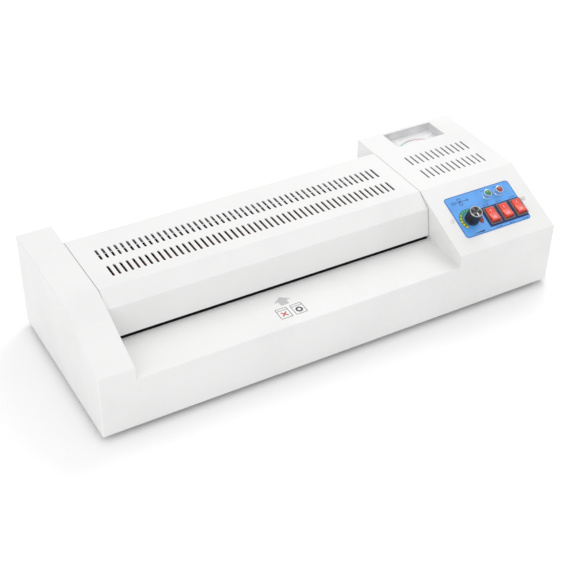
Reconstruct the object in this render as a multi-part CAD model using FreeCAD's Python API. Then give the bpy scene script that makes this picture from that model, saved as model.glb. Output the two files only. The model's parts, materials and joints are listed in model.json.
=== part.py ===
# Pouch laminator with two pairs of gear-driven rollers, in millimetres.
# +X runs along the rollers to the control housing, +Y towards the exit, +Z is up.
# The origin is at the middle of the footprint, on the surface that the feet stand on.
import FreeCAD
import Part
import math
import os

Vector = FreeCAD.Vector

# Case
overall_length = 520.0
overall_depth = 200.0
case_height = 104.0
foot_height = 6.0
foot_radius = 10.0
foot_taper = 1.0
foot_inset = 26.0
sheet = 1.2
bend_radius = 1.5
left_housing_width = 36.6
control_housing_width = 121.9
front_wall_height = 68.5
slope_run = 79.3
rear_panel_inset = 1.8

# Feed table, its slot and the exit table
table_front_height = 55.2
table_rear_height = 57.5
table_depth = 60.0
table_lip = 6.0
exit_table_height = 55.2
exit_lip = 9.0
exit_guide_drop_run = 18.0

# Roller cover: setbacks from the front or rear, heights from the case floor
cover_end_gap = 0.7
cover_edge_setback = 56.5
cover_edge_height = 62.0
cover_brow_setback = 62.0
cover_brow_height = 92.0
cover_rear_bend_setback = 33.0
cover_rear_brow_setback = 20.0
cover_rear_edge_setback = 16.0
cover_rear_edge_height = 66.0
cover_flange = 8.0
vent_length = 18.0
vent_width = 2.2
cover_vent_width = 2.7
cover_vent_pitch = 6.6
cover_vent_margin = 21.0
front_vent_setback = 102.4
rear_vent_setback = 132.0

# Control housing top: vents and the meter opening
box_vent_pitch = 6.76
box_vent_count = 12
box_vent_start = 24.3
box_front_vent_setback = 105.3
box_rear_vent_setback = 134.8
rear_vent_pitch = 6.6
rear_vent_count = 10
rear_vent_height = 68.0
meter_start = 30.5
meter_length = 63.0
meter_depth = 30.5
meter_rear_gap = 0.2
meter_recess = 10.5
meter_wall = 0.8
meter_hidden_depth = 13.0
meter_movement_height = 11.0
dial_thickness = 1.0
pointer_length = 25.0
pointer_width = 0.9
pointer_thickness = 0.4
pointer_height = 1.2
pointer_hub_radius = 2.0
pointer_stud_radius = 0.8
pointer_rest_angle = 78.0
pointer_pivot_setback = 6.9
meter_window_thickness = 1.5

# Control panel, measured from the control housing's inner wall and down the slope from its top bend
overlay_start = 18.2
overlay_top = 18.2
overlay_length = 83.8
overlay_width = 51.3
overlay_corner = 3.5
overlay_thickness = 0.4
panel_screw_places = ((14.0, 44.5), (106.8, 44.5))
panel_screw_head_radius = 2.4
panel_screw_head_height = 1.6
panel_screw_radius = 1.5
panel_screw_length = 7.0
knob_place = (35.5, 50.0)
knob_radius = 7.4
knob_skirt_radius = 8.0
knob_skirt_height = 2.0
knob_height = 14.0
knob_rib_count = 24
knob_rib_radius = 0.45
knob_plain_rim = 1.0
knob_gap = 0.4
knob_hollow_height = 4.5
knob_cap_radius = 6.2
knob_cap_thickness = 1.0
shaft_radius = 3.0
shaft_length_in_knob = 9.0
bushing_radius = 4.5
bushing_height = 4.0
pot_radius = 8.0
pot_depth = 9.0
knob_hollow_radius = 6.4
switch_names = ("direction_rocker", "heat_rocker", "power_rocker")
switch_first_place = (60.5, 53.25)
switch_pitch = 17.2
switch_bezel_width = 14.4
switch_bezel_length = 20.8
switch_bezel_height = 1.6
switch_body_width = 12.6
switch_body_length = 19.2
switch_body_depth = 17.0
switch_opening_width = 10.6
switch_opening_length = 17.6
switch_floor = 2.0
rocker_width = 10.0
rocker_half_length = 8.1
rocker_end_height = 4.6
rocker_middle_height = 3.2
rocker_keel_half_length = 5.5
rocker_keel_depth = 6.0
rocker_pivot_depth = 1.0
rocker_pin_radius = 1.2
rocker_tilt = 8.0
lamp_places = (("ready_lamp", (67.8, 29.1)), ("power_lamp", (83.0, 29.1)))
lamp_bezel_radius = 4.3
lamp_bezel_height = 6.0
lamp_radius = 3.3
lamp_height = 7.2
lamp_rim_radius = 0.45
lamp_body_depth = 12.0

# Rollers and gears
running_clearance = 0.05
sliding_clearance = 0.1
nip_gap = 0.3
roller_setback = 112.0
roller_spacing = 36.0
gear_module = 2.0
hot_teeth = 17
exit_teeth = 14
idler_teeth = 12
drive_module = 1.5
drive_teeth = 32
pinion_teeth = 12
pressure_angle = 25.0
addendum_factor = 0.75
tooth_thinning = 0.12
gear_width = 8.0
gear_gap = 3.0
gear_side_clearance = 1.0
sleeve_thickness = 2.0
core_wall = 4.0
roller_end_gap = 1.0
sleeve_end_step = 3.0
hot_journal_radius = 10.0
hot_bore_radius = 7.5
exit_journal_radius = 5.0
journal_overhang = 1.5
left_journal_overhang = 2.0
pinion_shaft_radius = 4.0
pinion_direction = 200.0
idler_pin_radius = 4.0

# Side frames, bearings and springs
frame_thickness = 3.0
frame_gap = 1.4
frame_front_reach = 26.0
frame_rear_reach = 22.0
frame_top_gap = 4.6
motor_arm_reach = 62.0
motor_arm_height = 60.0
block_thickness = 9.0
block_wall = 2.0
hot_block_side_wall = 4.0
exit_block_width = 20.0
block_groove = 2.0
block_rail_clearance = 0.1
roller_lift = 1.5
bush_wall = 3.0
bush_flange = 2.0
bush_flange_thickness = 2.0
bridge_thickness = 2.0
bridge_width = 9.0
spring_radius = 3.6
spring_wire_radius = 0.55
spring_turns = 4.0
tie_rod_radius = 4.0
tie_rod_floor_gap = 14.0
tie_rod_edge_gap = 8.0
tie_rod_flange_gap = 0.5

# Heating, drive and electrical pieces
heater_radius = 5.0
heater_overhang_left = 14.0
heater_overhang_right = 12.0
bracket_thickness = 6.0
bracket_width = 16.0
shield_floor_gap = 18.0
shield_wall_height = 24.0
shield_side_gap = 3.0
thermostat_radius = 8.0
thermostat_height = 4.5
thermostat_tab = (24.0, 4.0, 1.0)
guide_thickness = 1.2
guide_roller_gap = 2.2
guide_flange = 8.0
gearbox_length = 18.0
motor_length = 44.0
gearbox_width = 44.0
gearbox_height = 50.0
gearbox_start_gap = 5.0
gearbox_shaft_inset = 16.0
motor_radius = 19.0
standoff_radius = 3.0
standoff_inset = 8.0
transformer_core = (50.0, 42.0, 34.0)
transformer_coil = (30.0, 50.0, 30.0)
transformer_offset = (42.9, 18.0)
board_side_gap = 12.0
board_setback = 5.0
board_width = 40.0
board_thickness = 1.6
board_height = 6.0
board_leg_radius = 2.0
board_leg_inset = 4.0
board_blocks = ((12.0, 8.0, 20.0, 16.0, 15.0), (36.0, 8.0, 20.0, 16.0, 15.0), (20.0, 29.0, 50.0, 6.0, 9.0))
board_capacitor = (67.0, 16.0, 6.0, 20.0)
inlet_offset = (25.9, 26.0)
inlet_flange = (31.0, 24.5)
inlet_body = (27.0, 19.5)
inlet_socket = (24.0, 16.0)
inlet_depth = 24.0
inlet_socket_depth = 16.0
inlet_pin_length = 11.0
inlet_pin_size = (2.0, 4.0)
inlet_pin_places = ((-7.0, -2.0), (0.0, 2.0), (7.0, -2.0))
rear_screw_head_radius = 3.0
rear_screw_head_height = 1.6
case_screw_radius = 1.5
case_screw_length = 8.0
foot_screw_head_radius = 4.0
foot_screw_recess = 3.0
foot_screw_end = 2.0

# Places that follow from the sizes
front_y = -overall_depth / 2
rear_y = overall_depth / 2
left_x = -overall_length / 2
right_x = overall_length / 2
floor_z = foot_height
top_z = foot_height + case_height
left_wall_x = left_x + left_housing_width
right_wall_x = right_x - control_housing_width
bend_y = front_y + slope_run
front_top_z = floor_z + front_wall_height
slope_angle = math.degrees(math.atan2(top_z - front_top_z, slope_run))
throat_middle_x = (left_wall_x + right_wall_x) / 2
pouch_z = floor_z + (table_rear_height + cover_edge_height) / 2
hot_y = front_y + roller_setback
exit_y = hot_y + roller_spacing
hot_pitch_radius = gear_module * hot_teeth / 2
exit_pitch_radius = gear_module * exit_teeth / 2
idler_pitch_radius = gear_module * idler_teeth / 2
drive_pitch_radius = drive_module * drive_teeth / 2
pinion_pitch_radius = drive_module * pinion_teeth / 2
upper_hot = (hot_y, pouch_z + hot_pitch_radius)
lower_hot = (hot_y, pouch_z - hot_pitch_radius)
upper_exit = (exit_y, pouch_z + exit_pitch_radius)
lower_exit = (exit_y, pouch_z - exit_pitch_radius)
left_frame_x = left_wall_x - sheet - frame_gap - frame_thickness
right_frame_x = right_wall_x + sheet + frame_gap + frame_thickness
left_block_x = left_frame_x + frame_thickness / 2 - block_thickness / 2
right_block_x = right_frame_x - frame_thickness / 2 - block_thickness / 2
core_start_x = left_block_x + block_thickness + roller_end_gap
core_end_x = right_block_x - roller_end_gap
train_x = right_block_x + block_thickness + gear_side_clearance
drive_x = train_x + gear_width + gear_gap
frame_rear_y = exit_y + frame_rear_reach
frame_top_z = top_z - sheet - frame_top_gap
block_bottom_z = upper_hot[1] - hot_journal_radius - block_wall
block_top_z = upper_hot[1] + hot_journal_radius + block_wall
hot_block_width = 2 * (hot_journal_radius + hot_block_side_wall)
frame_front_y = hot_y - frame_front_reach
rear_panel_y = rear_y - rear_panel_inset - sheet
gearbox_x = drive_x + gear_width + gearbox_start_gap
meter_x = right_wall_x + meter_start
meter_rear_y = rear_panel_y - meter_wall - meter_rear_gap
meter_y = meter_rear_y - meter_depth
slot_floor_z = floor_z + table_rear_height
transformer_place = (right_wall_x + transformer_offset[0], hot_y + transformer_offset[1])
board_length = control_housing_width - 2 * board_side_gap
inlet_centre = (right_wall_x + inlet_offset[0], floor_z + inlet_offset[1])


# Basic shapes
def box(low, high):
    size = [b - a for a, b in zip(low, high)]
    return Part.makeBox(size[0], size[1], size[2], Vector(*low))


def rod(radius, start_x, end_x, place):
    return Part.makeCylinder(radius, end_x - start_x, Vector(start_x, *place), Vector(1, 0, 0))


def peg(radius, bottom_z, top, x, y):
    return Part.makeCylinder(radius, top - bottom_z, Vector(x, y, bottom_z))


def prism(outline, start_x, end_x):
    corners = [Vector(start_x, y, z) for y, z in outline]
    wire = Part.makePolygon(corners + corners[:1])
    return Part.Face(wire).extrude(Vector(end_x - start_x, 0, 0))


def revolved_rod(profile, place):
    corners = [Vector(x, place[0] + radius, place[1]) for x, radius in profile]
    wire = Part.makePolygon(corners + corners[:1])
    return Part.Face(wire).revolve(Vector(0, *place), Vector(1, 0, 0), 360)


def rounded_plate(length, width, thickness, corner):
    plate = Part.makeBox(length, width, thickness, Vector(-length / 2, -width / 2, 0))
    edges = [edge for edge in plate.Edges if abs(edge.tangentAt(edge.FirstParameter).z) > 0.9]
    return plate.makeFillet(corner, edges)


def join(shapes):
    return shapes[0].multiFuse(shapes[1:]).removeSplitter() if len(shapes) > 1 else shapes[0]


def offset_line(points, distance):
    """Copy a line of (y, z) points at a distance to its right, with mitred corners."""
    normals = []
    for (y0, z0), (y1, z1) in zip(points, points[1:]):
        length = math.hypot(y1 - y0, z1 - z0)
        normals.append(((z1 - z0) / length, -(y1 - y0) / length))
    moved = []
    for index, (y, z) in enumerate(points):
        before = normals[max(index - 1, 0)]
        after = normals[min(index, len(normals) - 1)]
        scale = distance / (1 + before[0] * after[0] + before[1] * after[1])
        moved.append((y + (before[0] + after[0]) * scale, z + (before[1] + after[1]) * scale))
    return moved


def folded_sheet(points, thickness, start_x, end_x):
    """A strip folded along a line of (y, z) points, which are its outer face."""
    inner = offset_line(points, thickness)
    strip = prism(list(points) + inner[::-1], start_x, end_x)
    outer_bends = [edge for edge in strip.Edges if is_bend(edge, points[1:-1])]
    if outer_bends:
        strip = strip.makeFillet(bend_radius, outer_bends)
    return strip


def is_bend(edge, bends):
    middle = edge.CenterOfMass
    along_x = abs(edge.tangentAt(edge.FirstParameter).x) > 0.9
    return along_x and any(math.hypot(middle.y - y, middle.z - z) < 0.01 for y, z in bends)


def vent(x, y, bottom_z, height, width=vent_width):
    straight = (vent_length - width) / 2
    slot = box((x - width / 2, y - straight, bottom_z), (x + width / 2, y + straight, bottom_z + height))
    ends = [peg(width / 2, bottom_z, bottom_z + height, x, y + side * straight) for side in (-1, 1)]
    return join([slot] + ends)


def panel_point(place, height=0.0):
    """The point at a place on the control panel, raised square to the slope."""
    along, down = place
    angle = math.radians(slope_angle)
    y = bend_y - down * math.cos(angle) - height * math.sin(angle)
    z = top_z - down * math.sin(angle) + height * math.cos(angle)
    return Vector(right_wall_x + along, y, z)


def on_panel(shape, place):
    """Stand a shape made at the origin, with +Z outwards, on the control panel."""
    turned = shape.copy()
    slope = FreeCAD.Placement(panel_point(place), FreeCAD.Rotation(Vector(1, 0, 0), slope_angle))
    turned.Placement = slope.multiply(shape.Placement)
    return turned


def switch_places():
    return [(switch_first_place[0] + index * switch_pitch, switch_first_place[1])
            for index in range(len(switch_names))]


# Gears
def involute_point(base_radius, radius, phase):
    roll = math.sqrt(max((radius / base_radius) ** 2 - 1, 0))
    angle = phase + roll - math.atan(roll)
    return radius * math.cos(angle), radius * math.sin(angle)


def gear(module, teeth, phase, start_x, place, bore_radius):
    """A spur gear along X; phase is the angle of one tooth's middle from +Y, in radians."""
    pitch = module * teeth / 2
    tip = pitch + addendum_factor * module
    root = pitch - module
    pressure = math.radians(pressure_angle)
    base = pitch * math.cos(pressure)
    half_tooth = math.pi / (2 * teeth) - tooth_thinning / (2 * pitch)
    flank_phase = -half_tooth - (math.tan(pressure) - pressure)
    flank_start = max(base, root)
    flank = [involute_point(base, radius, flank_phase)
             for radius in (flank_start, (flank_start + tip) / 2, tip)]
    edges = []
    for index in range(teeth):
        middle = phase + index * 2 * math.pi / teeth

        def turned(point):
            y, z = point
            return Vector(start_x, place[0] + y * math.cos(middle) - z * math.sin(middle),
                          place[1] + y * math.sin(middle) + z * math.cos(middle))

        root_angle = math.atan2(flank[0][1], flank[0][0])
        foot = (root * math.cos(root_angle), root * math.sin(root_angle))
        rising = [turned(point) for point in flank]
        falling = [turned((y, -z)) for y, z in reversed(flank)]
        next_foot = 2 * math.pi / teeth + root_angle
        valley = (root * math.cos(math.pi / teeth), root * math.sin(math.pi / teeth))
        next_root = (root * math.cos(next_foot), root * math.sin(next_foot))
        if flank_start > root:
            edges.append(Part.makeLine(turned(foot), rising[0]))
        edges.append(Part.Arc(*rising).toShape())
        edges.append(Part.Arc(rising[-1], turned((tip, 0)), falling[0]).toShape())
        edges.append(Part.Arc(*falling).toShape())
        if flank_start > root:
            edges.append(Part.makeLine(falling[-1], turned((foot[0], -foot[1]))))
        edges.append(Part.Arc(turned((foot[0], -foot[1])), turned(valley), turned(next_root)).toShape())
    blank = Part.Face(Part.Wire(edges)).extrude(Vector(gear_width, 0, 0))
    return blank.cut(rod(bore_radius, start_x, start_x + gear_width, place))


def mesh_phase(first_teeth, first_phase, first_place, second_teeth, second_place):
    """The phase that puts a gap of the second gear on a tooth of the first one."""
    line = math.atan2(second_place[1] - first_place[1], second_place[0] - first_place[0])
    return (line + math.pi - first_teeth / second_teeth * (first_phase - line)
            - math.pi / second_teeth)


def idler_place():
    """The point below both lower shafts, where the idler meshes with both of their gears."""
    hot_reach = hot_pitch_radius + idler_pitch_radius
    exit_reach = exit_pitch_radius + idler_pitch_radius
    run = lower_exit[0] - lower_hot[0]
    rise = lower_exit[1] - lower_hot[1]
    span = math.hypot(run, rise)
    along = (hot_reach ** 2 - exit_reach ** 2 + span ** 2) / (2 * span)
    below = math.sqrt(hot_reach ** 2 - along ** 2)
    return (lower_hot[0] + (along * run + below * rise) / span,
            lower_hot[1] + (along * rise - below * run) / span)


def pinion_place():
    reach = drive_pitch_radius + pinion_pitch_radius
    angle = math.radians(pinion_direction)
    return lower_hot[0] + reach * math.cos(angle), lower_hot[1] + reach * math.sin(angle)


idler = idler_place()
pinion = pinion_place()
gearbox_low_y = pinion[0] - gearbox_width + gearbox_shaft_inset
gearbox_low_z = pinion[1] - gearbox_height / 2


# Case
def cap_outline(inset, extra):
    """Side outline of a housing; extra runs it past the open floor and back."""
    outer = [(rear_y + extra, top_z), (bend_y, top_z), (front_y, front_top_z), (front_y, floor_z - extra)]
    inner = offset_line(outer, -inset) if inset else outer
    return inner + [(rear_y + extra, floor_z - extra)]


def housing():
    table_front_z = floor_z + table_front_height
    table_rear_y = front_y + table_depth
    caps = [prism(cap_outline(0, 0), left_x, left_wall_x), prism(cap_outline(0, 0), right_wall_x, right_x)]
    table = prism([(front_y, floor_z), (front_y, table_front_z), (table_rear_y, slot_floor_z),
                   (table_rear_y, floor_z)], left_wall_x - sheet, right_wall_x + sheet)
    shell = join(caps + [table])
    rounded = []
    for edge in shell.Edges:
        middle = edge.CenterOfMass
        direction = edge.tangentAt(edge.FirstParameter)
        on_front = abs(middle.y - front_y) < 0.01
        at_bend = on_front and abs(middle.z - front_top_z) < 0.01 or abs(middle.z - table_front_z) < 0.01
        on_top_bend = abs(middle.z - top_z) < 0.01 and abs(middle.y - bend_y) < 0.01
        on_end = min(abs(middle.x - left_x), abs(middle.x - right_x)) < 0.01
        outer_end = on_end and middle.z > floor_z + 0.01 and middle.y < rear_y - 0.01
        if (at_bend or on_top_bend) and abs(direction.x) > 0.9 or outer_end:
            rounded.append(edge)
    shell = shell.makeFillet(bend_radius, rounded)
    inner_walls_z = pouch_z - hot_pitch_radius - sheet
    extra = 2 * sheet
    voids = [
        prism(cap_outline(sheet, extra), left_x + sheet, left_wall_x - sheet),
        prism(cap_outline(sheet, extra), right_wall_x + sheet, right_x - sheet),
        box((left_x + sheet, front_y + sheet, floor_z - extra),
            (right_x - sheet, rear_y + extra, inner_walls_z)),
        prism([(front_y + sheet, floor_z), (front_y + sheet, table_front_z - sheet),
               (table_rear_y - sheet, slot_floor_z - sheet), (table_rear_y - sheet, slot_floor_z - table_lip),
               (rear_y, slot_floor_z - table_lip), (rear_y, floor_z)], left_wall_x, right_wall_x)]
    window_top_z = frame_top_z + bridge_thickness + sliding_clearance
    for wall_x in (left_wall_x - sheet, right_wall_x):
        voids.append(box((wall_x, frame_front_y, inner_walls_z - extra),
                         (wall_x + sheet, frame_rear_y, window_top_z)))
    for row_y in (front_y + box_front_vent_setback, front_y + box_rear_vent_setback):
        for index in range(box_vent_count):
            x = right_wall_x + box_vent_start + index * box_vent_pitch
            voids.append(vent(x, row_y, top_z - extra, 2 * extra))
    voids.append(box((meter_x, meter_y, top_z - extra),
                     (meter_x + meter_length, meter_rear_y, top_z + extra)))
    through = Part.makeCylinder(bushing_radius, 4 * extra, Vector(0, 0, -2 * extra))
    voids.append(on_panel(through, knob_place))
    screw_hole = Part.makeCylinder(panel_screw_radius, 4 * extra, Vector(0, 0, -2 * extra))
    voids.extend(on_panel(screw_hole, place) for place in panel_screw_places)
    lamp_hole = Part.makeCylinder(lamp_radius, 4 * extra, Vector(0, 0, -2 * extra))
    voids.extend(on_panel(lamp_hole, place) for name, place in lamp_places)
    cutout = rounded_plate(switch_body_width, switch_body_length, 4 * extra, bend_radius / 2)
    cutout.translate(Vector(0, 0, -2 * extra))
    voids.extend(on_panel(cutout, place) for place in switch_places())
    return shell.cut(Part.makeCompound(voids))


def cover_line():
    return [(front_y + cover_edge_setback, floor_z + cover_edge_height),
            (front_y + cover_brow_setback, floor_z + cover_brow_height),
            (bend_y, top_z),
            (rear_y - cover_rear_bend_setback, top_z),
            (rear_y - cover_rear_brow_setback, floor_z + cover_brow_height),
            (rear_y - cover_rear_edge_setback, floor_z + cover_rear_edge_height)]


def roller_cover():
    low_x = left_wall_x + cover_end_gap
    high_x = right_wall_x - cover_end_gap
    line = cover_line()
    skin = folded_sheet(line, sheet, low_x, high_x)
    inside = offset_line(line, sheet / 2)
    flange_inner = offset_line(line, cover_flange)
    flange = list(inside) + flange_inner[::-1]
    ends = [prism(flange, low_x, low_x + sheet), prism(flange, high_x - sheet, high_x)]
    cover = join([skin] + ends)
    length = high_x - low_x - 2 * cover_vent_margin
    count = int(length / cover_vent_pitch) + 1
    first_x = throat_middle_x - (count - 1) * cover_vent_pitch / 2
    slots = [vent(first_x + index * cover_vent_pitch, row_y, top_z - 2 * sheet, 4 * sheet, cover_vent_width)
             for row_y in (front_y + front_vent_setback, front_y + rear_vent_setback)
             for index in range(count)]
    return cover.cut(Part.makeCompound(slots))


def rear_panel():
    plate_y = (rear_panel_y, rear_panel_y + sheet)
    inner_walls_z = pouch_z - hot_pitch_radius - sheet
    band = box((left_x + sheet, plate_y[0], floor_z), (right_x - sheet, plate_y[1], inner_walls_z))
    middle = box((left_wall_x, plate_y[0], floor_z),
                 (right_wall_x, plate_y[1], floor_z + exit_table_height - sheet))
    left = box((left_x + sheet, plate_y[0], floor_z), (left_wall_x - sheet, plate_y[1], top_z - sheet))
    right = box((right_wall_x + sheet, plate_y[0], floor_z), (right_x - sheet, plate_y[1], top_z - sheet))
    panel = join([band, middle, left, right])
    inlet_x, inlet_z = inlet_centre
    half_width, half_height = inlet_body[0] / 2, inlet_body[1] / 2
    inlet_hole = box((inlet_x - half_width, plate_y[0] - sheet, inlet_z - half_height),
                     (inlet_x + half_width, plate_y[1] + sheet, inlet_z + half_height))
    holes = [inlet_hole]
    first_x = right_wall_x + control_housing_width / 2 - (rear_vent_count - 1) * rear_vent_pitch / 2
    for index in range(rear_vent_count):
        slot = vent(0, 0, -sheet, 3 * sheet)
        slot.rotate(Vector(0, 0, 0), Vector(1, 0, 0), -90)
        slot.translate(Vector(first_x + index * rear_vent_pitch, plate_y[0], rear_vent_height))
        holes.append(slot)
    for x, z in rear_screw_places():
        holes.append(Part.makeCylinder(case_screw_radius, 3 * sheet, Vector(x, plate_y[0] - sheet, z),
                                       Vector(0, 1, 0)))
    return panel.cut(Part.makeCompound(holes))


def rear_screw_places():
    edge = 2 * rear_screw_head_radius
    return [(left_x + sheet + edge, floor_z + edge), (right_x - sheet - edge, floor_z + edge),
            (throat_middle_x, floor_z + edge), (left_x + sheet + edge, top_z - sheet - edge),
            (right_x - sheet - edge, floor_z + front_wall_height)]


def foot_places():
    return [(side * (right_x - foot_inset), end * (rear_y - foot_inset))
            for side in (-1, 1) for end in (-1, 1)]


def base_plate():
    plate = box((left_x + sheet, front_y + sheet, floor_z), (right_x - sheet, rear_panel_y, floor_z + sheet))
    holes = [peg(case_screw_radius, floor_z - sheet, floor_z + 2 * sheet, x, y) for x, y in foot_places()]
    return plate.cut(Part.makeCompound(holes))


def rubber_feet():
    feet = []
    for x, y in foot_places():
        foot = Part.makeCone(foot_radius - foot_taper, foot_radius, foot_height, Vector(x, y, 0))
        recess = peg(foot_screw_head_radius, 0, foot_screw_recess, x, y)
        hole = peg(case_screw_radius, 0, foot_height, x, y)
        feet.append(foot.cut(recess.fuse(hole)))
    return Part.makeCompound(feet)


def foot_screws():
    screws = []
    for x, y in foot_places():
        head = peg(foot_screw_head_radius, foot_screw_recess / 2, foot_screw_recess, x, y)
        shank = peg(case_screw_radius, foot_screw_recess, floor_z + sheet + foot_screw_end, x, y)
        screws.append(head.fuse(shank))
    return screws


def rear_screws():
    screws = []
    outside = rear_panel_y + sheet
    for x, z in rear_screw_places():
        head = Part.makeCylinder(rear_screw_head_radius, rear_screw_head_height, Vector(x, outside, z),
                                 Vector(0, 1, 0))
        rim = [edge for edge in head.Edges if edge.CenterOfMass.y > outside + rear_screw_head_height / 2
               and edge.Closed]
        head = head.makeFillet(rear_screw_head_height / 2, rim)
        shank = Part.makeCylinder(case_screw_radius, case_screw_length,
                                  Vector(x, outside, z), Vector(0, -1, 0))
        screws.append(head.fuse(shank))
    return screws


# Control panel
def panel_overlay():
    plate = rounded_plate(overlay_length, overlay_width, overlay_thickness, overlay_corner)
    middle = (overlay_start + overlay_length / 2, overlay_top + overlay_width / 2)
    tall = 4 * overlay_thickness
    overlay = on_panel(plate, middle)
    knob_hole = Part.makeCylinder(bushing_radius, tall, Vector(0, 0, -overlay_thickness))
    lamp_hole = Part.makeCylinder(lamp_radius, tall, Vector(0, 0, -overlay_thickness))
    cutout = rounded_plate(switch_body_width, switch_body_length, tall, bend_radius / 2)
    cutout.translate(Vector(0, 0, -overlay_thickness))
    holes = [on_panel(knob_hole, knob_place)]
    holes += [on_panel(lamp_hole, place) for name, place in lamp_places]
    holes += [on_panel(cutout, place) for place in switch_places()]
    return overlay.cut(Part.makeCompound(holes))


def panel_screws():
    head = Part.makeCylinder(panel_screw_head_radius, panel_screw_head_height)
    rim = [edge for edge in head.Edges if edge.Closed and edge.CenterOfMass.z > panel_screw_head_height / 2]
    head = head.makeFillet(panel_screw_head_height / 2, rim)
    cross_length = panel_screw_head_radius * 1.2
    cross_width = panel_screw_head_radius / 4
    for length, width in ((cross_length, cross_width), (cross_width, cross_length)):
        head = head.cut(Part.makeBox(length, width, panel_screw_head_height,
                                     Vector(-length / 2, -width / 2, panel_screw_head_height / 2)))
    shank = Part.makeCylinder(panel_screw_radius, panel_screw_length, Vector(0, 0, 0), Vector(0, 0, -1))
    screw = head.fuse(shank)
    return Part.makeCompound([on_panel(screw, place) for place in panel_screw_places])


def potentiometer():
    body = Part.makeCylinder(pot_radius, pot_depth, Vector(0, 0, -sheet - pot_depth))
    bushing = Part.makeCylinder(bushing_radius, sheet + overlay_thickness + bushing_height,
                                Vector(0, 0, -sheet))
    bore = Part.makeCylinder(shaft_radius + running_clearance, 2 * bushing_height + pot_depth,
                             Vector(0, 0, -sheet - pot_depth / 2))
    return on_panel(body.fuse(bushing).cut(bore), knob_place)


def potentiometer_shaft():
    start = -sheet - pot_depth / 2 + sliding_clearance
    end = overlay_thickness + knob_gap + knob_hollow_height + shaft_length_in_knob - knob_cap_thickness
    return on_panel(Part.makeCylinder(shaft_radius, end - start, Vector(0, 0, start)), knob_place)


def temperature_knob():
    bottom = overlay_thickness + knob_gap
    skirt = Part.makeCylinder(knob_skirt_radius, knob_skirt_height, Vector(0, 0, bottom))
    body = Part.makeCylinder(knob_radius, knob_height, Vector(0, 0, bottom))
    ribs = []
    for index in range(knob_rib_count):
        angle = 2 * math.pi * index / knob_rib_count
        place = Vector(knob_radius * math.cos(angle), knob_radius * math.sin(angle), bottom)
        ribs.append(Part.makeCylinder(knob_rib_radius, knob_height - knob_plain_rim, place))
    knob = join([body, skirt] + ribs)
    hollow = Part.makeCylinder(knob_hollow_radius, knob_hollow_height, Vector(0, 0, bottom))
    bore = Part.makeCylinder(shaft_radius, knob_hollow_height + shaft_length_in_knob - knob_cap_thickness,
                             Vector(0, 0, bottom))
    seat = Part.makeCylinder(knob_cap_radius, knob_cap_thickness / 2,
                             Vector(0, 0, bottom + knob_height - knob_cap_thickness / 2))
    return on_panel(knob.cut(Part.makeCompound([hollow, bore, seat])), knob_place)


def knob_cap():
    bottom = overlay_thickness + knob_gap + knob_height - knob_cap_thickness / 2
    cap = Part.makeCylinder(knob_cap_radius, knob_cap_thickness, Vector(0, 0, bottom))
    rim = [edge for edge in cap.Edges
           if edge.Closed and edge.CenterOfMass.z > bottom + knob_cap_thickness / 2]
    return on_panel(cap.makeChamfer(knob_cap_thickness / 3, rim), knob_place)


def switch_frame():
    bezel = rounded_plate(switch_bezel_width, switch_bezel_length, switch_bezel_height, bend_radius)
    bezel.translate(Vector(0, 0, overlay_thickness))
    body = rounded_plate(switch_body_width, switch_body_length, switch_body_depth + overlay_thickness,
                         bend_radius / 2)
    body.translate(Vector(0, 0, -switch_body_depth))
    opening = rounded_plate(switch_opening_width, switch_opening_length,
                            switch_body_depth + switch_bezel_height, bend_radius / 3)
    opening.translate(Vector(0, 0, -switch_body_depth + switch_floor + overlay_thickness))
    pivot = Part.makeCylinder(rocker_pin_radius + running_clearance, switch_body_width,
                              Vector(-switch_body_width / 2, 0, -rocker_pivot_depth), Vector(1, 0, 0))
    return bezel.fuse(body).cut(opening.fuse(pivot))


def rocker():
    """One rocker about its pivot, tilted so that its upper half is pressed in."""
    outline = [(-rocker_half_length, rocker_end_height), (0, rocker_middle_height),
               (rocker_half_length, rocker_end_height), (rocker_half_length, -rocker_pivot_depth),
               (rocker_keel_half_length, -rocker_keel_depth), (-rocker_keel_half_length, -rocker_keel_depth),
               (-rocker_half_length, -rocker_pivot_depth)]
    body = prism(outline, -rocker_width / 2, rocker_width / 2)
    body = body.makeFillet(knob_rib_radius, [edge for edge in body.Edges
                                             if edge.CenterOfMass.z > rocker_middle_height - 0.01])
    pin_half = switch_body_width / 2 - sliding_clearance
    pin = rod(rocker_pin_radius, -pin_half, pin_half, (0, -rocker_pivot_depth))
    piece = body.fuse(pin)
    piece.rotate(Vector(0, 0, -rocker_pivot_depth), Vector(1, 0, 0), -rocker_tilt)
    return piece


def lamp_bezels():
    ring = Part.makeCylinder(lamp_bezel_radius, lamp_bezel_height, Vector(0, 0, overlay_thickness))
    rim = [edge for edge in ring.Edges if edge.Closed and edge.CenterOfMass.z > lamp_bezel_height / 2]
    ring = ring.makeFillet(lamp_rim_radius, rim)
    hole = Part.makeCylinder(lamp_radius, 2 * lamp_bezel_height)
    return Part.makeCompound([on_panel(ring.cut(hole), place) for name, place in lamp_places])


def lamp(place):
    straight = lamp_height - lamp_radius + overlay_thickness
    body = Part.makeCylinder(lamp_radius, lamp_body_depth + straight, Vector(0, 0, -lamp_body_depth))
    dome = Part.makeSphere(lamp_radius, Vector(0, 0, straight))
    return on_panel(body.fuse(dome), place)


# Meter
def meter_pivot():
    return meter_x + meter_length / 2, meter_y - pointer_pivot_setback


def meter_case():
    top = top_z - sheet
    floor = top_z - meter_recess - dial_thickness
    outer = box((meter_x - meter_wall, meter_y - meter_hidden_depth, floor - meter_movement_height),
                (meter_x + meter_length + meter_wall, meter_rear_y + meter_wall, top))
    inner = box((meter_x, meter_y - meter_hidden_depth + meter_wall, floor),
                (meter_x + meter_length, meter_rear_y, top))
    return outer.cut(inner)


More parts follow.
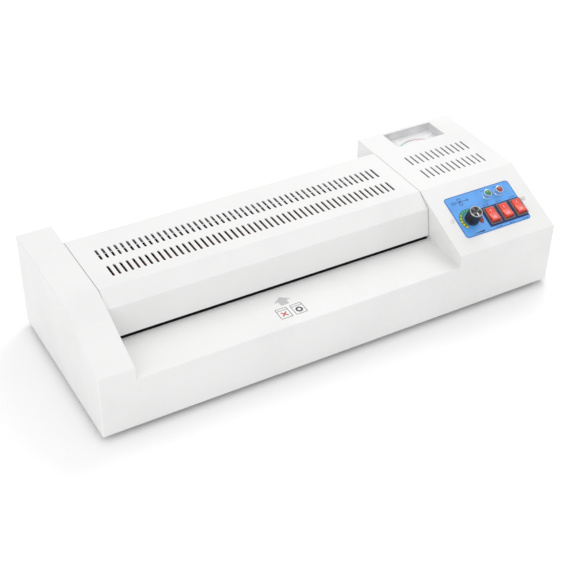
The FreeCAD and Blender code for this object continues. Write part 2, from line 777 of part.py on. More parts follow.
def meter_dial():
    floor = top_z - meter_recess - dial_thickness
    plate = box((meter_x, meter_y - meter_hidden_depth + meter_wall, floor),
                (meter_x + meter_length, meter_rear_y, floor + dial_thickness))
    x, y = meter_pivot()
    stud = peg(pointer_stud_radius, floor, floor + dial_thickness + 2 * pointer_height, x, y)
    return plate.fuse(stud)


def meter_pointer():
    x, y = meter_pivot()
    bottom = top_z - meter_recess + pointer_height
    hub = peg(pointer_hub_radius, bottom, bottom + pointer_thickness * 2, x, y)
    needle = box((x - pointer_width / 2, y, bottom), (x + pointer_width / 2, y + pointer_length,
                                                      bottom + pointer_thickness))
    hole = peg(pointer_stud_radius + running_clearance, bottom, bottom + pointer_thickness * 2, x, y)
    pointer = hub.fuse(needle).cut(hole)
    pointer.rotate(Vector(x, y, bottom), Vector(0, 0, 1), pointer_rest_angle)
    return pointer


def meter_window():
    top = top_z - sheet
    return box((meter_x, meter_y - meter_hidden_depth + meter_wall, top - meter_window_thickness),
               (meter_x + meter_length, meter_rear_y, top))


# Frames, bearings and springs
def block_seats():
    return [(hot_block_width, upper_hot), (exit_block_width, upper_exit)]


def side_frame(frame_x, with_motor_arm):
    plate = box((frame_x, frame_front_y, floor_z + sheet),
                (frame_x + frame_thickness, frame_rear_y, frame_top_z))
    if with_motor_arm:
        arm = box((frame_x, hot_y - motor_arm_reach, floor_z + sheet),
                  (frame_x + frame_thickness, frame_front_y, floor_z + motor_arm_height))
        plate = join([plate, arm])
    end_x = frame_x + frame_thickness
    cuts = []
    for width, (y, z) in block_seats():
        half = width / 2 - block_groove + sliding_clearance
        cuts.append(box((frame_x, y - half, block_bottom_z - sliding_clearance), (end_x, y + half, top_z)))
    cuts.append(rod(hot_journal_radius + bush_wall, frame_x, end_x, lower_hot))
    cuts.append(rod(exit_journal_radius + bush_wall, frame_x, end_x, lower_exit))
    cuts.extend(rod(tie_rod_radius / 2, frame_x, end_x, place) for place in tie_rod_places())
    if with_motor_arm:
        cuts.append(rod(idler_pin_radius, frame_x, end_x, idler))
        cuts.extend(rod(standoff_radius / 2, frame_x, end_x, place) for place in standoff_places())
    return plate.cut(Part.makeCompound(cuts))


def tie_rod_places():
    """The rods along the frame's edges; the upper front one stands against the hot blocks' way."""
    low_z = floor_z + tie_rod_floor_gap
    high_z = top_z - cover_flange - tie_rod_flange_gap - tie_rod_radius
    upper_front_y = hot_y - hot_block_width / 2 - tie_rod_radius
    rear_y_place = frame_rear_y - tie_rod_edge_gap
    return [(frame_front_y + tie_rod_edge_gap, low_z), (rear_y_place, low_z),
            (upper_front_y, high_z), (rear_y_place, high_z)]


def tie_rods():
    low_x = left_frame_x + frame_thickness
    high_x = right_frame_x - frame_thickness
    rods = []
    for place in tie_rod_places():
        bar = rod(tie_rod_radius, low_x, high_x, place)
        spigot = rod(tie_rod_radius / 2, left_frame_x, right_frame_x, place)
        rods.append(bar.fuse(spigot))
    return Part.makeCompound(rods)


def bearing_blocks(width, place, journal_radius):
    blocks = []
    for start_x in (left_block_x, right_block_x):
        y, z = place
        end_x = start_x + block_thickness
        block = box((start_x, y - width / 2, block_bottom_z), (end_x, y + width / 2, block_top_z))
        rail = frame_thickness / 2 + block_rail_clearance
        middle_x = (start_x + end_x) / 2
        grooves = [box((middle_x - rail, y + side * width / 2 - block_groove, block_bottom_z),
                       (middle_x + rail, y + side * width / 2 + block_groove, block_top_z))
                    for side in (-1, 1)]
        bore = rod(journal_radius + running_clearance, start_x, end_x, place)
        blocks.append(block.cut(Part.makeCompound(grooves + [bore])))
    return Part.makeCompound(blocks)


def lower_bushes():
    bushes = []
    for radius, place in ((hot_journal_radius, lower_hot), (exit_journal_radius, lower_exit)):
        outer = radius + bush_wall
        for frame_x, flange_x in ((left_frame_x, left_frame_x - bush_flange_thickness),
                                  (right_frame_x - frame_thickness, right_frame_x)):
            sleeve = rod(outer, frame_x, frame_x + frame_thickness, place)
            flange = rod(outer + bush_flange, flange_x, flange_x + bush_flange_thickness, place)
            bore = rod(radius + running_clearance, frame_x - block_thickness,
                       frame_x + 2 * block_thickness, place)
            bushes.append(sleeve.fuse(flange).cut(bore))
    return Part.makeCompound(bushes)


def spring_bridges():
    bridges = []
    for frame_x in (left_frame_x, right_frame_x - frame_thickness):
        middle_x = frame_x + frame_thickness / 2
        bridges.append(box((middle_x - bridge_width / 2, frame_front_y, frame_top_z),
                           (middle_x + bridge_width / 2, frame_rear_y, frame_top_z + bridge_thickness)))
    return Part.makeCompound(bridges)


def pressure_springs(place):
    height = frame_top_z - block_top_z
    rise = height - 2 * spring_wire_radius
    springs = []
    for start_x in (left_block_x, right_block_x):
        helix = Part.makeHelix(rise / spring_turns, rise, spring_radius - spring_wire_radius)
        centre = Vector(spring_radius - spring_wire_radius, 0, 0)
        section = Part.Wire(Part.makeCircle(spring_wire_radius, centre, Vector(0, 1, 0)))
        spring = Part.Wire(helix.Edges).makePipeShell([section], True, True)
        spring.translate(Vector(start_x + block_thickness / 2, place[0], block_top_z + spring_wire_radius))
        springs.append(spring)
    return Part.makeCompound(springs)


# Rollers
def roller_core(place, pitch_radius, journal_radius, bore_radius, right_end):
    body_radius = pitch_radius - nip_gap / 2 - sleeve_thickness
    left_end = left_block_x - left_journal_overhang
    outline = [(left_end, bore_radius), (left_end, journal_radius), (core_start_x, journal_radius),
               (core_start_x, body_radius), (core_end_x, body_radius), (core_end_x, journal_radius),
               (right_end, journal_radius), (right_end, bore_radius)]
    if bore_radius:
        inner = body_radius - core_wall
        outline += [(core_end_x - core_wall, bore_radius), (core_end_x - core_wall, inner),
                    (core_start_x + core_wall, inner), (core_start_x + core_wall, bore_radius)]
    return revolved_rod(outline, place)


def roller_sleeve(place, pitch_radius):
    outer = pitch_radius - nip_gap / 2
    start = core_start_x + sleeve_end_step
    end = core_end_x - sleeve_end_step
    return rod(outer, start, end, place).cut(rod(outer - sleeve_thickness, start, end, place))


# Heating and guides
def heater_tubes():
    left = left_block_x - heater_overhang_left
    right = drive_x + gear_width + heater_overhang_right
    return Part.makeCompound([rod(heater_radius, left, right, place) for place in (upper_hot, lower_hot)])


def heater_brackets():
    brackets = []
    left = left_block_x - heater_overhang_left + sheet
    right = drive_x + gear_width + heater_overhang_right - sheet - bracket_thickness
    for start_x in (left, right):
        post = box((start_x, hot_y - bracket_width / 2, floor_z + sheet),
                   (start_x + bracket_thickness, hot_y + bracket_width / 2, upper_hot[1] + bracket_width / 2))
        holes = [rod(heater_radius, start_x, start_x + bracket_thickness, place)
                 for place in (upper_hot, lower_hot)]
        brackets.append(post.cut(Part.makeCompound(holes)))
    return Part.makeCompound(brackets)


def heat_shield():
    low_y = hot_y - hot_pitch_radius - shield_side_gap
    high_y = exit_y + exit_pitch_radius + shield_side_gap
    low_z = floor_z + shield_floor_gap
    line = [(high_y, low_z + shield_wall_height), (high_y, low_z), (low_y, low_z),
            (low_y, low_z + shield_wall_height)]
    return folded_sheet(line, sheet, core_start_x, core_end_x)


def thermostat():
    bottom = floor_z + shield_floor_gap + sheet
    body = peg(thermostat_radius, bottom, bottom + thermostat_height, throat_middle_x, hot_y)
    length, width, thickness = thermostat_tab
    tabs = box((throat_middle_x - length / 2, hot_y - width / 2, bottom),
               (throat_middle_x + length / 2, hot_y + width / 2, bottom + thickness))
    return body.fuse(tabs)


def roller_edge(centre, pitch_radius, height, side):
    """Where a roller's surface is at a height, in front of it (-1) or behind it (1)."""
    return centre[0] + side * math.sqrt(pitch_radius ** 2 - (height - centre[1]) ** 2)


def pouch_guides():
    top = slot_floor_z
    bottom = top - guide_thickness
    flange_bottom = bottom - guide_flange

    def reach(height):
        """Where the guides start and end at a height: up to the hot roller, and on to the exit one."""
        before_hot = roller_edge(lower_hot, hot_pitch_radius, height, -1) - guide_roller_gap
        after_hot = roller_edge(lower_hot, hot_pitch_radius, height, 1) + guide_roller_gap
        before_exit = roller_edge(lower_exit, exit_pitch_radius, height, -1) - guide_roller_gap
        return (front_y + table_depth, before_hot), (after_hot, before_exit)

    guides = []
    for plate_y, flange_y in zip(reach(bottom), reach(flange_bottom)):
        plate = box((left_wall_x, plate_y[0], bottom), (right_wall_x, plate_y[1], top))
        flanges = [box((x, flange_y[0], flange_bottom), (x + guide_thickness, flange_y[1], top))
                   for x in (left_wall_x, right_wall_x - guide_thickness)]
        guides.append(join([plate] + flanges))
    return Part.makeCompound(guides)


def exit_table():
    start_z = slot_floor_z - guide_thickness
    start_y = roller_edge(lower_exit, exit_pitch_radius, start_z - guide_thickness, 1) + guide_roller_gap
    table_z = floor_z + exit_table_height
    rear_face = rear_panel_y + sheet + guide_thickness
    line = [(start_y, start_z), (start_y + exit_guide_drop_run, table_z), (rear_face, table_z),
            (rear_face, table_z - exit_lip)]
    return folded_sheet(line, guide_thickness, left_wall_x, right_wall_x)


# Drive and electrical pieces
def standoff_places():
    high_y = gearbox_low_y + gearbox_width
    high_z = gearbox_low_z + gearbox_height
    return [(gearbox_low_y + standoff_inset, gearbox_low_z + standoff_inset),
            (gearbox_low_y + standoff_inset, high_z - standoff_inset),
            (high_y - standoff_inset, gearbox_low_z + standoff_inset)]


def motor_standoffs():
    pieces = []
    for place in standoff_places():
        bar = rod(standoff_radius, right_frame_x, gearbox_x, place)
        spigot = rod(standoff_radius / 2, right_frame_x - frame_thickness, gearbox_x, place)
        pieces.append(bar.fuse(spigot))
    return Part.makeCompound(pieces)


def gear_motor():
    gearbox = box((gearbox_x, gearbox_low_y, gearbox_low_z),
                  (gearbox_x + gearbox_length, gearbox_low_y + gearbox_width, gearbox_low_z + gearbox_height))
    middle = (gearbox_low_y + gearbox_width / 2, gearbox_low_z + gearbox_height / 2)
    motor = rod(motor_radius, gearbox_x + gearbox_length, gearbox_x + gearbox_length + motor_length, middle)
    bore = rod(pinion_shaft_radius + running_clearance, gearbox_x, gearbox_x + gearbox_length - sheet, pinion)
    return gearbox.fuse(motor).cut(bore)


def motor_pinion():
    phase = mesh_phase(drive_teeth, 0.0, lower_hot, pinion_teeth, pinion)
    wheel = gear(drive_module, pinion_teeth, phase, drive_x, pinion, pinion_shaft_radius)
    shaft = rod(pinion_shaft_radius, drive_x, gearbox_x + gearbox_length - sheet - sliding_clearance, pinion)
    return wheel.fuse(shaft)


def transformer():
    x, y = transformer_place
    bottom = floor_z + sheet
    length, depth, height = transformer_core
    core = box((x, y, bottom), (x + length, y + depth, bottom + height))
    coil_length, coil_depth, coil_height = transformer_coil
    coil_x = x + (length - coil_length) / 2
    coil_y = y + (depth - coil_depth) / 2
    coil_z = bottom + (height - coil_height) / 2
    coil = box((coil_x, coil_y, coil_z), (coil_x + coil_length, coil_y + coil_depth, coil_z + coil_height))
    return core.fuse(coil)


def control_board():
    x = right_wall_x + board_side_gap
    y = front_y + board_setback
    bottom = floor_z + sheet
    plate_z = bottom + board_height
    top = plate_z + board_thickness
    pieces = [box((x, y, plate_z), (x + board_length, y + board_width, top))]
    pieces += [peg(board_leg_radius, bottom, plate_z, x + leg_x, y + leg_y)
               for leg_x in (board_leg_inset, board_length - board_leg_inset)
               for leg_y in (board_leg_inset, board_width - board_leg_inset)]
    for along, across, length, width, height in board_blocks:
        low = (x + along, y + across, top)
        pieces.append(box(low, (low[0] + length, low[1] + width, top + height)))
    along, across, radius, height = board_capacitor
    pieces.append(peg(radius, top, top + height, x + along, y + across))
    return join(pieces)


def power_inlet():
    x, z = inlet_centre
    outside = rear_panel_y + sheet

    def block(size, low_y, high_y):
        return box((x - size[0] / 2, low_y, z - size[1] / 2), (x + size[0] / 2, high_y, z + size[1] / 2))

    flange = block(inlet_flange, outside, rear_y)
    body = block(inlet_body, outside - inlet_depth, outside)
    socket = block(inlet_socket, rear_y - inlet_socket_depth, rear_y)
    return flange.fuse(body).cut(socket)


def inlet_pins():
    x, z = inlet_centre
    back = rear_y - inlet_socket_depth
    pins = []
    half_width, half_height = inlet_pin_size[0] / 2, inlet_pin_size[1] / 2
    for side, rise in inlet_pin_places:
        pins.append(box((x + side - half_width, back, z + rise - half_height),
                        (x + side + half_width, back + inlet_pin_length, z + rise + half_height)))
    return Part.makeCompound(pins)


def gear_nodes():
    """Every gear of the two trains, each in mesh with the one that turns it."""
    hot_phase = 0.0
    upper_hot_phase = mesh_phase(hot_teeth, hot_phase, lower_hot, hot_teeth, upper_hot)
    idler_phase = mesh_phase(hot_teeth, hot_phase, lower_hot, idler_teeth, idler)
    lower_exit_phase = mesh_phase(idler_teeth, idler_phase, idler, exit_teeth, lower_exit)
    upper_exit_phase = mesh_phase(exit_teeth, lower_exit_phase, lower_exit, exit_teeth, upper_exit)
    return {
        "lower_hot_gear": gear(gear_module, hot_teeth, hot_phase, train_x, lower_hot, hot_journal_radius),
        "upper_hot_gear": gear(gear_module, hot_teeth, upper_hot_phase, train_x, upper_hot,
                               hot_journal_radius),
        "idler_gear": gear(gear_module, idler_teeth, idler_phase, train_x, idler,
                           idler_pin_radius + running_clearance),
        "lower_exit_gear": gear(gear_module, exit_teeth, lower_exit_phase, train_x, lower_exit,
                                exit_journal_radius),
        "upper_exit_gear": gear(gear_module, exit_teeth, upper_exit_phase, train_x, upper_exit,
                                exit_journal_radius),
        "drive_gear": gear(drive_module, drive_teeth, 0.0, drive_x, lower_hot, hot_journal_radius)}


def all_nodes():
    train_end = train_x + gear_width + journal_overhang
    drive_end = drive_x + gear_width + journal_overhang
    nodes = {
        "housing": housing(),
        "roller_cover": roller_cover(),
        "rear_panel": rear_panel(),
        "base_plate": base_plate(),
        "rubber_feet": rubber_feet(),
        "case_screws": Part.makeCompound(foot_screws() + rear_screws()),
        "panel_overlay": panel_overlay(),
        "panel_screws": panel_screws(),
        "potentiometer": potentiometer(),
        "potentiometer_shaft": potentiometer_shaft(),
        "temperature_knob": temperature_knob(),
        "knob_cap": knob_cap(),
        "switch_frames": Part.makeCompound([on_panel(switch_frame(), place) for place in switch_places()]),
        "lamp_bezels": lamp_bezels(),
        "meter_case": meter_case(),
        "meter_dial": meter_dial(),
        "meter_pointer": meter_pointer(),
        "meter_window": meter_window(),
        "left_side_frame": side_frame(left_frame_x, False),
        "right_side_frame": side_frame(right_frame_x - frame_thickness, True),
        "tie_rods": tie_rods(),
        "hot_bearing_blocks": bearing_blocks(hot_block_width, upper_hot, hot_journal_radius),
        "exit_bearing_blocks": bearing_blocks(exit_block_width, upper_exit, exit_journal_radius),
        "lower_bushes": lower_bushes(),
        "spring_bridges": spring_bridges(),
        "hot_springs": pressure_springs(upper_hot),
        "exit_springs": pressure_springs(upper_exit),
        "upper_hot_core": roller_core(upper_hot, hot_pitch_radius, hot_journal_radius, hot_bore_radius,
                                      train_end),
        "lower_hot_core": roller_core(lower_hot, hot_pitch_radius, hot_journal_radius, hot_bore_radius,
                                      drive_end),
        "upper_exit_core": roller_core(upper_exit, exit_pitch_radius, exit_journal_radius, 0, train_end),
        "lower_exit_core": roller_core(lower_exit, exit_pitch_radius, exit_journal_radius, 0, train_end),
        "upper_hot_sleeve": roller_sleeve(upper_hot, hot_pitch_radius),
        "lower_hot_sleeve": roller_sleeve(lower_hot, hot_pitch_radius),
        "upper_exit_sleeve": roller_sleeve(upper_exit, exit_pitch_radius),
        "lower_exit_sleeve": roller_sleeve(lower_exit, exit_pitch_radius),
        "heater_tubes": heater_tubes(),
        "heater_brackets": heater_brackets(),
        "heat_shield": heat_shield(),
        "thermostat": thermostat(),
        "pouch_guides": pouch_guides(),
        "exit_table": exit_table(),
        "idler_pin": rod(idler_pin_radius, right_frame_x - frame_thickness, train_end, idler),
        "gear_motor": gear_motor(),
        "motor_standoffs": motor_standoffs(),
        "motor_pinion": motor_pinion(),
        "transformer": transformer(),
        "control_board": control_board(),
        "power_inlet": power_inlet(),
        "inlet_pins": inlet_pins()}
    nodes.update(gear_nodes())
    for name, place in zip(switch_names, switch_places()):
        nodes[name] = on_panel(rocker(), place)
    for name, place in lamp_places:
        nodes[name] = lamp(place)
    return nodes


os.makedirs("parts", exist_ok=True)
for node_name, node_shape in all_nodes().items():
    node_shape.exportStep("parts/" + node_name + ".step")
    solids = node_shape.Solids
    state = "ok" if node_shape.isValid() and all(solid.isClosed() for solid in solids) else "not closed"
    print(node_name, len(solids), round(node_shape.Volume, 1), state)
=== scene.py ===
import json
import math

import bmesh
import bpy
from mathutils import Matrix, Vector


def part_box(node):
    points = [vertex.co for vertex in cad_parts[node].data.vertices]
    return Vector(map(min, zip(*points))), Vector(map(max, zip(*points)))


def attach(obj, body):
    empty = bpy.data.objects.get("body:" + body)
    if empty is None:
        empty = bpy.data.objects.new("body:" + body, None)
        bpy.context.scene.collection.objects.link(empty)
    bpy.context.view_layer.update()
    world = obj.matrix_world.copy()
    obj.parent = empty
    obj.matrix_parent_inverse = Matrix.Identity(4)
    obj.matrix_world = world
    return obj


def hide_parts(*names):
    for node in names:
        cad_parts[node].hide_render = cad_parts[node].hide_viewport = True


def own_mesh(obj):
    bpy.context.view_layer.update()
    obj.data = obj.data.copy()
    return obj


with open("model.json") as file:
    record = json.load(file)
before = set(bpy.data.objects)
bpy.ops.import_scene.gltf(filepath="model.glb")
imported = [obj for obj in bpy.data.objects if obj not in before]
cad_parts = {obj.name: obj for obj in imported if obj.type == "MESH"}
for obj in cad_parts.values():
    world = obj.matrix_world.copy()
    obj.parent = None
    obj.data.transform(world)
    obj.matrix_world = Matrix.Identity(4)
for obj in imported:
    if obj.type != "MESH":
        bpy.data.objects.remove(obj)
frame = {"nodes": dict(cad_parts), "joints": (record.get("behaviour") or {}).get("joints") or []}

bl_info = {
    "name": "Pouch laminator",
    "version": (1, 0, 0),
    "blender": (4, 5, 0),
    "location": "3D View > Sidebar > Laminator",
    "description": "Finishes, prints and small pieces of a pouch laminator, made around its fixed frame",
    "category": "Object",
}

MM = 0.001
SMOOTH_ANGLE = math.radians(35.0)
ROUND_STEPS, FINE_STEPS = 48, 96

# Sizes that the printed marks and small pieces share with the frame
TABLE_FRONT, TABLE_REAR, TABLE_DEPTH = 55.2 * MM, 57.5 * MM, 60.0 * MM
FRONT_WALL = 68.5 * MM
FILM_THICKNESS = 0.4 * MM

# Sizes, angles in degrees and counts of the pieces made here
KNOB_GAP = 0.8 * MM
HEAT_START, HEAT_SWEEP, HEAT_MARKS = 222.0, 262.0, 14
DIAL_START, DIAL_SWEEP, DIAL_MARKS = 20.0, 140.0, 31
ROCKER_LENGTH, ROCKER_END, ROCKER_VALLEY = 8.1 * MM, 5.6 * MM, 4.2 * MM
SPRING_WIRE = 0.55 * MM
SPRING_TURNS = 5

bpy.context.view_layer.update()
joints = {joint["name"]: joint for joint in frame["joints"]}


# Sizes, colours and the studio
def length(name, description, default):
    return bpy.props.FloatProperty(name=name, description=description, default=default, min=0.0,
                                   precision=5, unit="LENGTH", subtype="DISTANCE")


def colour(name, description, default):
    return bpy.props.FloatVectorProperty(name=name, description=description, default=default, size=3,
                                         min=0.0, max=1.0, subtype="COLOR")


def location(name, description, default):
    return bpy.props.FloatVectorProperty(name=name, description=description, default=default, size=3,
                                         unit="LENGTH", subtype="TRANSLATION")


def number(name, description, default, least=0.0):
    return bpy.props.FloatProperty(name=name, description=description, default=default, min=least)


class LaminatorSizes(bpy.types.PropertyGroup):
    ink: length("Ink", "Thickness of a printed mark", 0.04 * MM)
    edge: length("Moulded edge", "Radius left on the edges of moulded pieces", 0.35 * MM)
    flute_depth: length("Flute depth", "Depth of the grooves round the knob", 0.55 * MM)
    flutes: bpy.props.IntProperty(name="Flutes", description="Grooves round the knob", default=28, min=8)
    rocker_dish: length("Rocker dish", "How far each half of a rocker is dished", 0.25 * MM)
    dial_card: length("Dial card", "Thickness of the meter's dial card", 1.0 * MM)
    arc_radius: length("Dial arc", "Radius of the coloured arc on the meter's dial", 27.2 * MM)


class LaminatorColours(bpy.types.PropertyGroup):
    casing: colour("Casing", "Powder coat of the sheet metal", (0.80, 0.80, 0.795))
    overlay: colour("Panel film", "Printed film of the control panel", (0.105, 0.37, 0.86))
    overlay_dark: colour("Panel ink", "Dark lines and plate on the control panel", (0.012, 0.035, 0.17))
    rocker: colour("Rockers", "Moulded rockers", (0.84, 0.075, 0.045))
    surround: colour("Switch frames", "Frames round the rockers", (0.15, 0.13, 0.125))
    knob: colour("Knob", "Moulded knob", (0.010, 0.011, 0.018))
    ready: colour("Ready lens", "Lens of the ready lamp", (0.010, 0.16, 0.055))
    power: colour("Power lens", "Lens of the power lamp", (0.22, 0.012, 0.012))
    hot_silicone: colour("Hot sleeves", "Silicone of the hot rollers", (0.22, 0.045, 0.03))
    sign_grey: colour("Sign grey", "Grey ink on the feed table", (0.52, 0.51, 0.52))
    sign_red: colour("Sign red", "Red ink on the feed table", (0.50, 0.05, 0.055))


class LaminatorStudio(bpy.types.PropertyGroup):
    camera_place: location("Camera", "Where the camera stands", (-0.5235, -0.8782, 0.7862))
    camera_target: location("Target", "The point that the camera looks at", (-0.0267, -0.0327, 0.0501))
    camera_roll: bpy.props.FloatProperty(name="Roll", description="Turn of the camera about its sight line",
                                         default=0.02, unit="ROTATION", subtype="ANGLE")
    lens: number("Lens", "Focal length in millimetres", 75.56, 1.0)
    sky: number("Sky", "Strength of the even light", 0.90)
    key: number("Key", "Power of the main soft light, in watts", 8.5)
    floor_size: length("Floor", "Width of the floor", 14.0)


# Shader maths
class Signal:
    """A value in a material's node tree; arithmetic on it adds Math nodes."""

    def __init__(self, finish, socket):
        self.finish = finish
        self.socket = socket

    def maths(self, operation, *others):
        values = dict(enumerate((self, *others)))
        return self.finish.node("ShaderNodeMath", {"operation": operation}, values)

    def __add__(self, other):
        return self.maths("ADD", other)

    __radd__ = __add__

    def __sub__(self, other):
        return self.maths("SUBTRACT", other)

    def __rsub__(self, other):
        return self * -1.0 + other

    def __mul__(self, other):
        return self.maths("MULTIPLY", other)

    __rmul__ = __mul__

    def __truediv__(self, other):
        return self.maths("DIVIDE", other)

    def __pow__(self, other):
        return self.maths("POWER", other)

    def ramp(self, low, high):
        """0 below low, 1 above high and smooth between them."""
        return self.finish.node("ShaderNodeMapRange", {"interpolation_type": "SMOOTHSTEP"},
                                {"Value": self, "From Min": low, "From Max": high})


class Finish:
    """One material: the constants of its shader, and what varies over the surface."""

    def __init__(self, name, base, **constants):
        self.material = bpy.data.materials.new(name)
        self.material.use_nodes = True
        self.tree = self.material.node_tree
        self.shader = self.tree.nodes["Principled BSDF"]
        self.base = tuple(base)
        self.shader.inputs["Base Color"].default_value = (*self.base, 1.0)
        self.material.diffuse_color = (*self.base, 1.0)
        for key, value in constants.items():
            self.shader.inputs[key.replace("_", " ").title().replace("Ior", "IOR")].default_value = value

    def node(self, kind, settings=None, inputs=None, output=0):
        """A node of this kind, its settings first and then its sockets; returns one output."""
        node = self.tree.nodes.new(kind)
        for key, value in (settings or {}).items():
            if key == "stops":
                self.set_stops(node.color_ramp, value)
            else:
                setattr(node, key, value)
        for key, value in (inputs or {}).items():
            self.feed(self.socket(node.inputs, key), value)
        return Signal(self, self.socket(node.outputs, output))

    @staticmethod
    def socket(sockets, key):
        if isinstance(key, int):
            return sockets[key]
        return next(socket for socket in sockets if key in (socket.identifier, socket.name))

    @staticmethod
    def set_stops(ramp, stops):
        while len(ramp.elements) < len(stops):
            ramp.elements.new(1.0)
        for element, (position, value) in zip(ramp.elements, stops):
            element.position = position
            element.color = (*value, 1.0)

    def feed(self, socket, value):
        if isinstance(value, Signal):
            self.tree.links.new(value.socket, socket)
        elif isinstance(value, tuple) and len(value) == 3 and socket.type == "RGBA":
            socket.default_value = (*value, 1.0)
        else:
            socket.default_value = value

    def varies(self, name, value):
        self.feed(self.shader.inputs[name], value)

    def point(self):
        return self.node("ShaderNodeTexCoord", output="Object")

    def places(self):
        """The surface's own coordinates in metres, as three signals."""
        point = self.point()
        return [self.node("ShaderNodeSeparateXYZ", inputs={0: point}, output=axis) for axis in "XYZ"]

    def noise(self, scale, detail=2.0, stretch=None, roughness=0.5):
        point = self.point()
        if stretch:
            point = self.node("ShaderNodeVectorMath", {"operation": "MULTIPLY"}, {0: point, 1: stretch})
        return self.node("ShaderNodeTexNoise", inputs={"Vector": point, "Scale": scale, "Detail": detail,
                                                       "Roughness": roughness})

    def cells(self, scale, output):
        return self.node("ShaderNodeTexVoronoi", inputs={"Vector": self.point(), "Scale": scale},
                         output=output)

    def mix(self, factor, first, second):
        return self.node("ShaderNodeMix", {"data_type": "RGBA"},
                         {"Factor_Float": factor, "A_Color": first, "B_Color": second}, "Result_Color")

    def shade(self, amount, factor):
        """The base colour, darkened by an amount where the factor is 1."""
        dark = tuple(value * (1.0 - amount) for value in self.base)
        return self.mix(factor, self.base, dark)

    def surface(self, tint, roughness, relief, strength, depth):
        """What a finish varies: its base colour, its roughness and a bump, whose depth is in millimetres."""
        self.varies("Base Color", tint)
        self.varies("Roughness", roughness)
        self.varies("Normal", self.node("ShaderNodeBump", inputs={"Height": relief, "Strength": strength,
                                                                  "Distance": depth * MM}))
        return self


# Finishes
def powder_coat(name, base):
    """Fine-textured powder coat, greyer where dust settles, with painted shade: faces turned down are painted
    near black to darken the case's inside.
    """
    finish = Finish(name, base, coat_roughness=0.3)
    pebble = finish.noise(1500.0, 3.0)
    flow = finish.noise(260.0, 1.0)
    dust = finish.noise(9.0, 4.0, roughness=0.6)
    # Painted shade: faces turned down get a near-black colour in place of the coat, to darken the inside seen
    # through the vents and the slot.
    facing = finish.node("ShaderNodeNewGeometry", output="True Normal")
    unshaded_faces = finish.node("ShaderNodeSeparateXYZ", inputs={0: facing}, output="Z").ramp(-0.35, -0.1)
    painted_shade_colour, top_coat = (0.055, 0.055, 0.06), finish.shade(0.045, dust.ramp(0.42, 0.72))
    finish.varies("Coat Weight", (0.10 + 0.06 * flow) * unshaded_faces)
    return finish.surface(finish.mix(unshaded_faces, painted_shade_colour, top_coat),
                          0.42 + 0.10 * dust + 0.06 * pebble + 0.2 * (1.0 - unshaded_faces),
                          pebble * 0.7 + flow * 0.3, 0.16, 0.12)


def moulding(name, base, roughness=0.4, grain=2200.0, coat=0.0, relief=0.10):
    """Moulded plastic with a fine spark texture and a faint handling shine."""
    finish = Finish(name, base, coat_roughness=0.15)
    wear = finish.noise(70.0, 3.0)
    if coat:
        finish.varies("Coat Weight", (coat - 0.05) + 0.10 * wear)
    return finish.surface(finish.shade(0.16, wear.ramp(0.35, 0.75)), (roughness - 0.06) + 0.12 * wear,
                          finish.noise(grain), relief, 0.06)


def sheet_zinc(name, base=(0.56, 0.57, 0.58)):
    """Zinc-plated steel sheet: large soft spangles and fine drawing lines."""
    finish = Finish(name, base, metallic=0.95)
    level = finish.node("ShaderNodeSeparateColor", inputs={0: finish.cells(130.0, "Color")})
    lines = finish.noise(60.0, 3.0, (1.0, 30.0, 30.0))
    return finish.surface(finish.shade(0.22, level * 0.5 + lines * 0.5), 0.30 + 0.16 * level + 0.08 * lines,
                          lines, 0.10, 0.05)


def turned_metal(name, base, roughness=0.22):
    """Metal turned on a lathe about X: fine rings and light handling marks."""
    finish = Finish(name, base, metallic=1.0)
    rings = finish.noise(90.0, 3.0, (60.0, 1.0, 1.0))
    marks = finish.noise(45.0, 5.0, roughness=0.7)
    return finish.surface(finish.shade(0.18, marks.ramp(0.45, 0.75)),
                          (roughness - 0.05) + 0.12 * rings + 0.08 * marks, rings, 0.12, 0.04)


def silicone(name, base, sheen=0.45):
    """Satin silicone with a fine ground surface and glossier bands worn by the pouches."""
    finish = Finish(name, base, specular_ior_level=sheen)
    grind = finish.noise(120.0, 3.0, (1.0, 14.0, 14.0))
    bands = finish.noise(24.0, 2.0, (1.0, 0.02, 0.02))
    return finish.surface(finish.shade(0.25, bands.ramp(0.4, 0.7)), 0.52 - 0.16 * bands + 0.06 * grind,
                          grind, 0.12, 0.05)


def ink(name, base, roughness=0.45):
    """Screen-printed ink: slightly uneven cover and a soft sheen."""
    finish = Finish(name, base)
    cover = finish.noise(900.0, 3.0)
    return finish.surface(finish.shade(0.14, cover.ramp(0.45, 0.8)), (roughness - 0.06) + 0.12 * cover,
                          cover, 0.06, 0.02)


def bright_plate(name, base=(0.82, 0.83, 0.85)):
    finish = Finish(name, base, metallic=1.0)
    haze = finish.noise(300.0, 3.0)
    return finish.surface(finish.shade(0.10, haze.ramp(0.5, 0.8)), 0.07 + 0.10 * haze, haze, 0.03, 0.02)


def lens(name, base):
    """Tinted lens: a deep colour under a clear gloss, with painted highlights: a lighter colour laid over the
    moulded facet pattern inside.
    """
    finish = Finish(name, base, coat_roughness=0.04, subsurface_weight=0.1)
    facets = finish.cells(1400.0, "Distance")
    # Painted highlight: the lighter colour over the facets stands in for light caught inside the lens.
    light = tuple(min(value * 2.4 + 0.01, 1.0) for value in finish.base)
    finish.varies("Coat Weight", 0.9 + 0.1 * facets)
    return finish.surface(finish.mix(facets.ramp(0.1, 0.7), light, finish.base), 0.12 + 0.08 * facets,
                          facets, 0.20, 0.05)


def clear_plastic(name, tint, roughness):
    finish = Finish(name, tint, ior=1.46, transmission_weight=1.0)
    finish.varies("Roughness", roughness + 0.04 * finish.noise(60.0, 4.0).ramp(0.5, 0.8))
    return finish


def window_plastic(name, tint):
    """A thin clear pane that lets light straight through and keeps a soft gloss and a little haze."""
    finish = Finish(name, tint)
    haze = finish.noise(80.0, 4.0)
    finish.varies("Roughness", 0.05 + 0.06 * haze.ramp(0.5, 0.8))
    finish.varies("Alpha", 0.06 + 0.05 * haze.ramp(0.4, 0.8))
    return finish


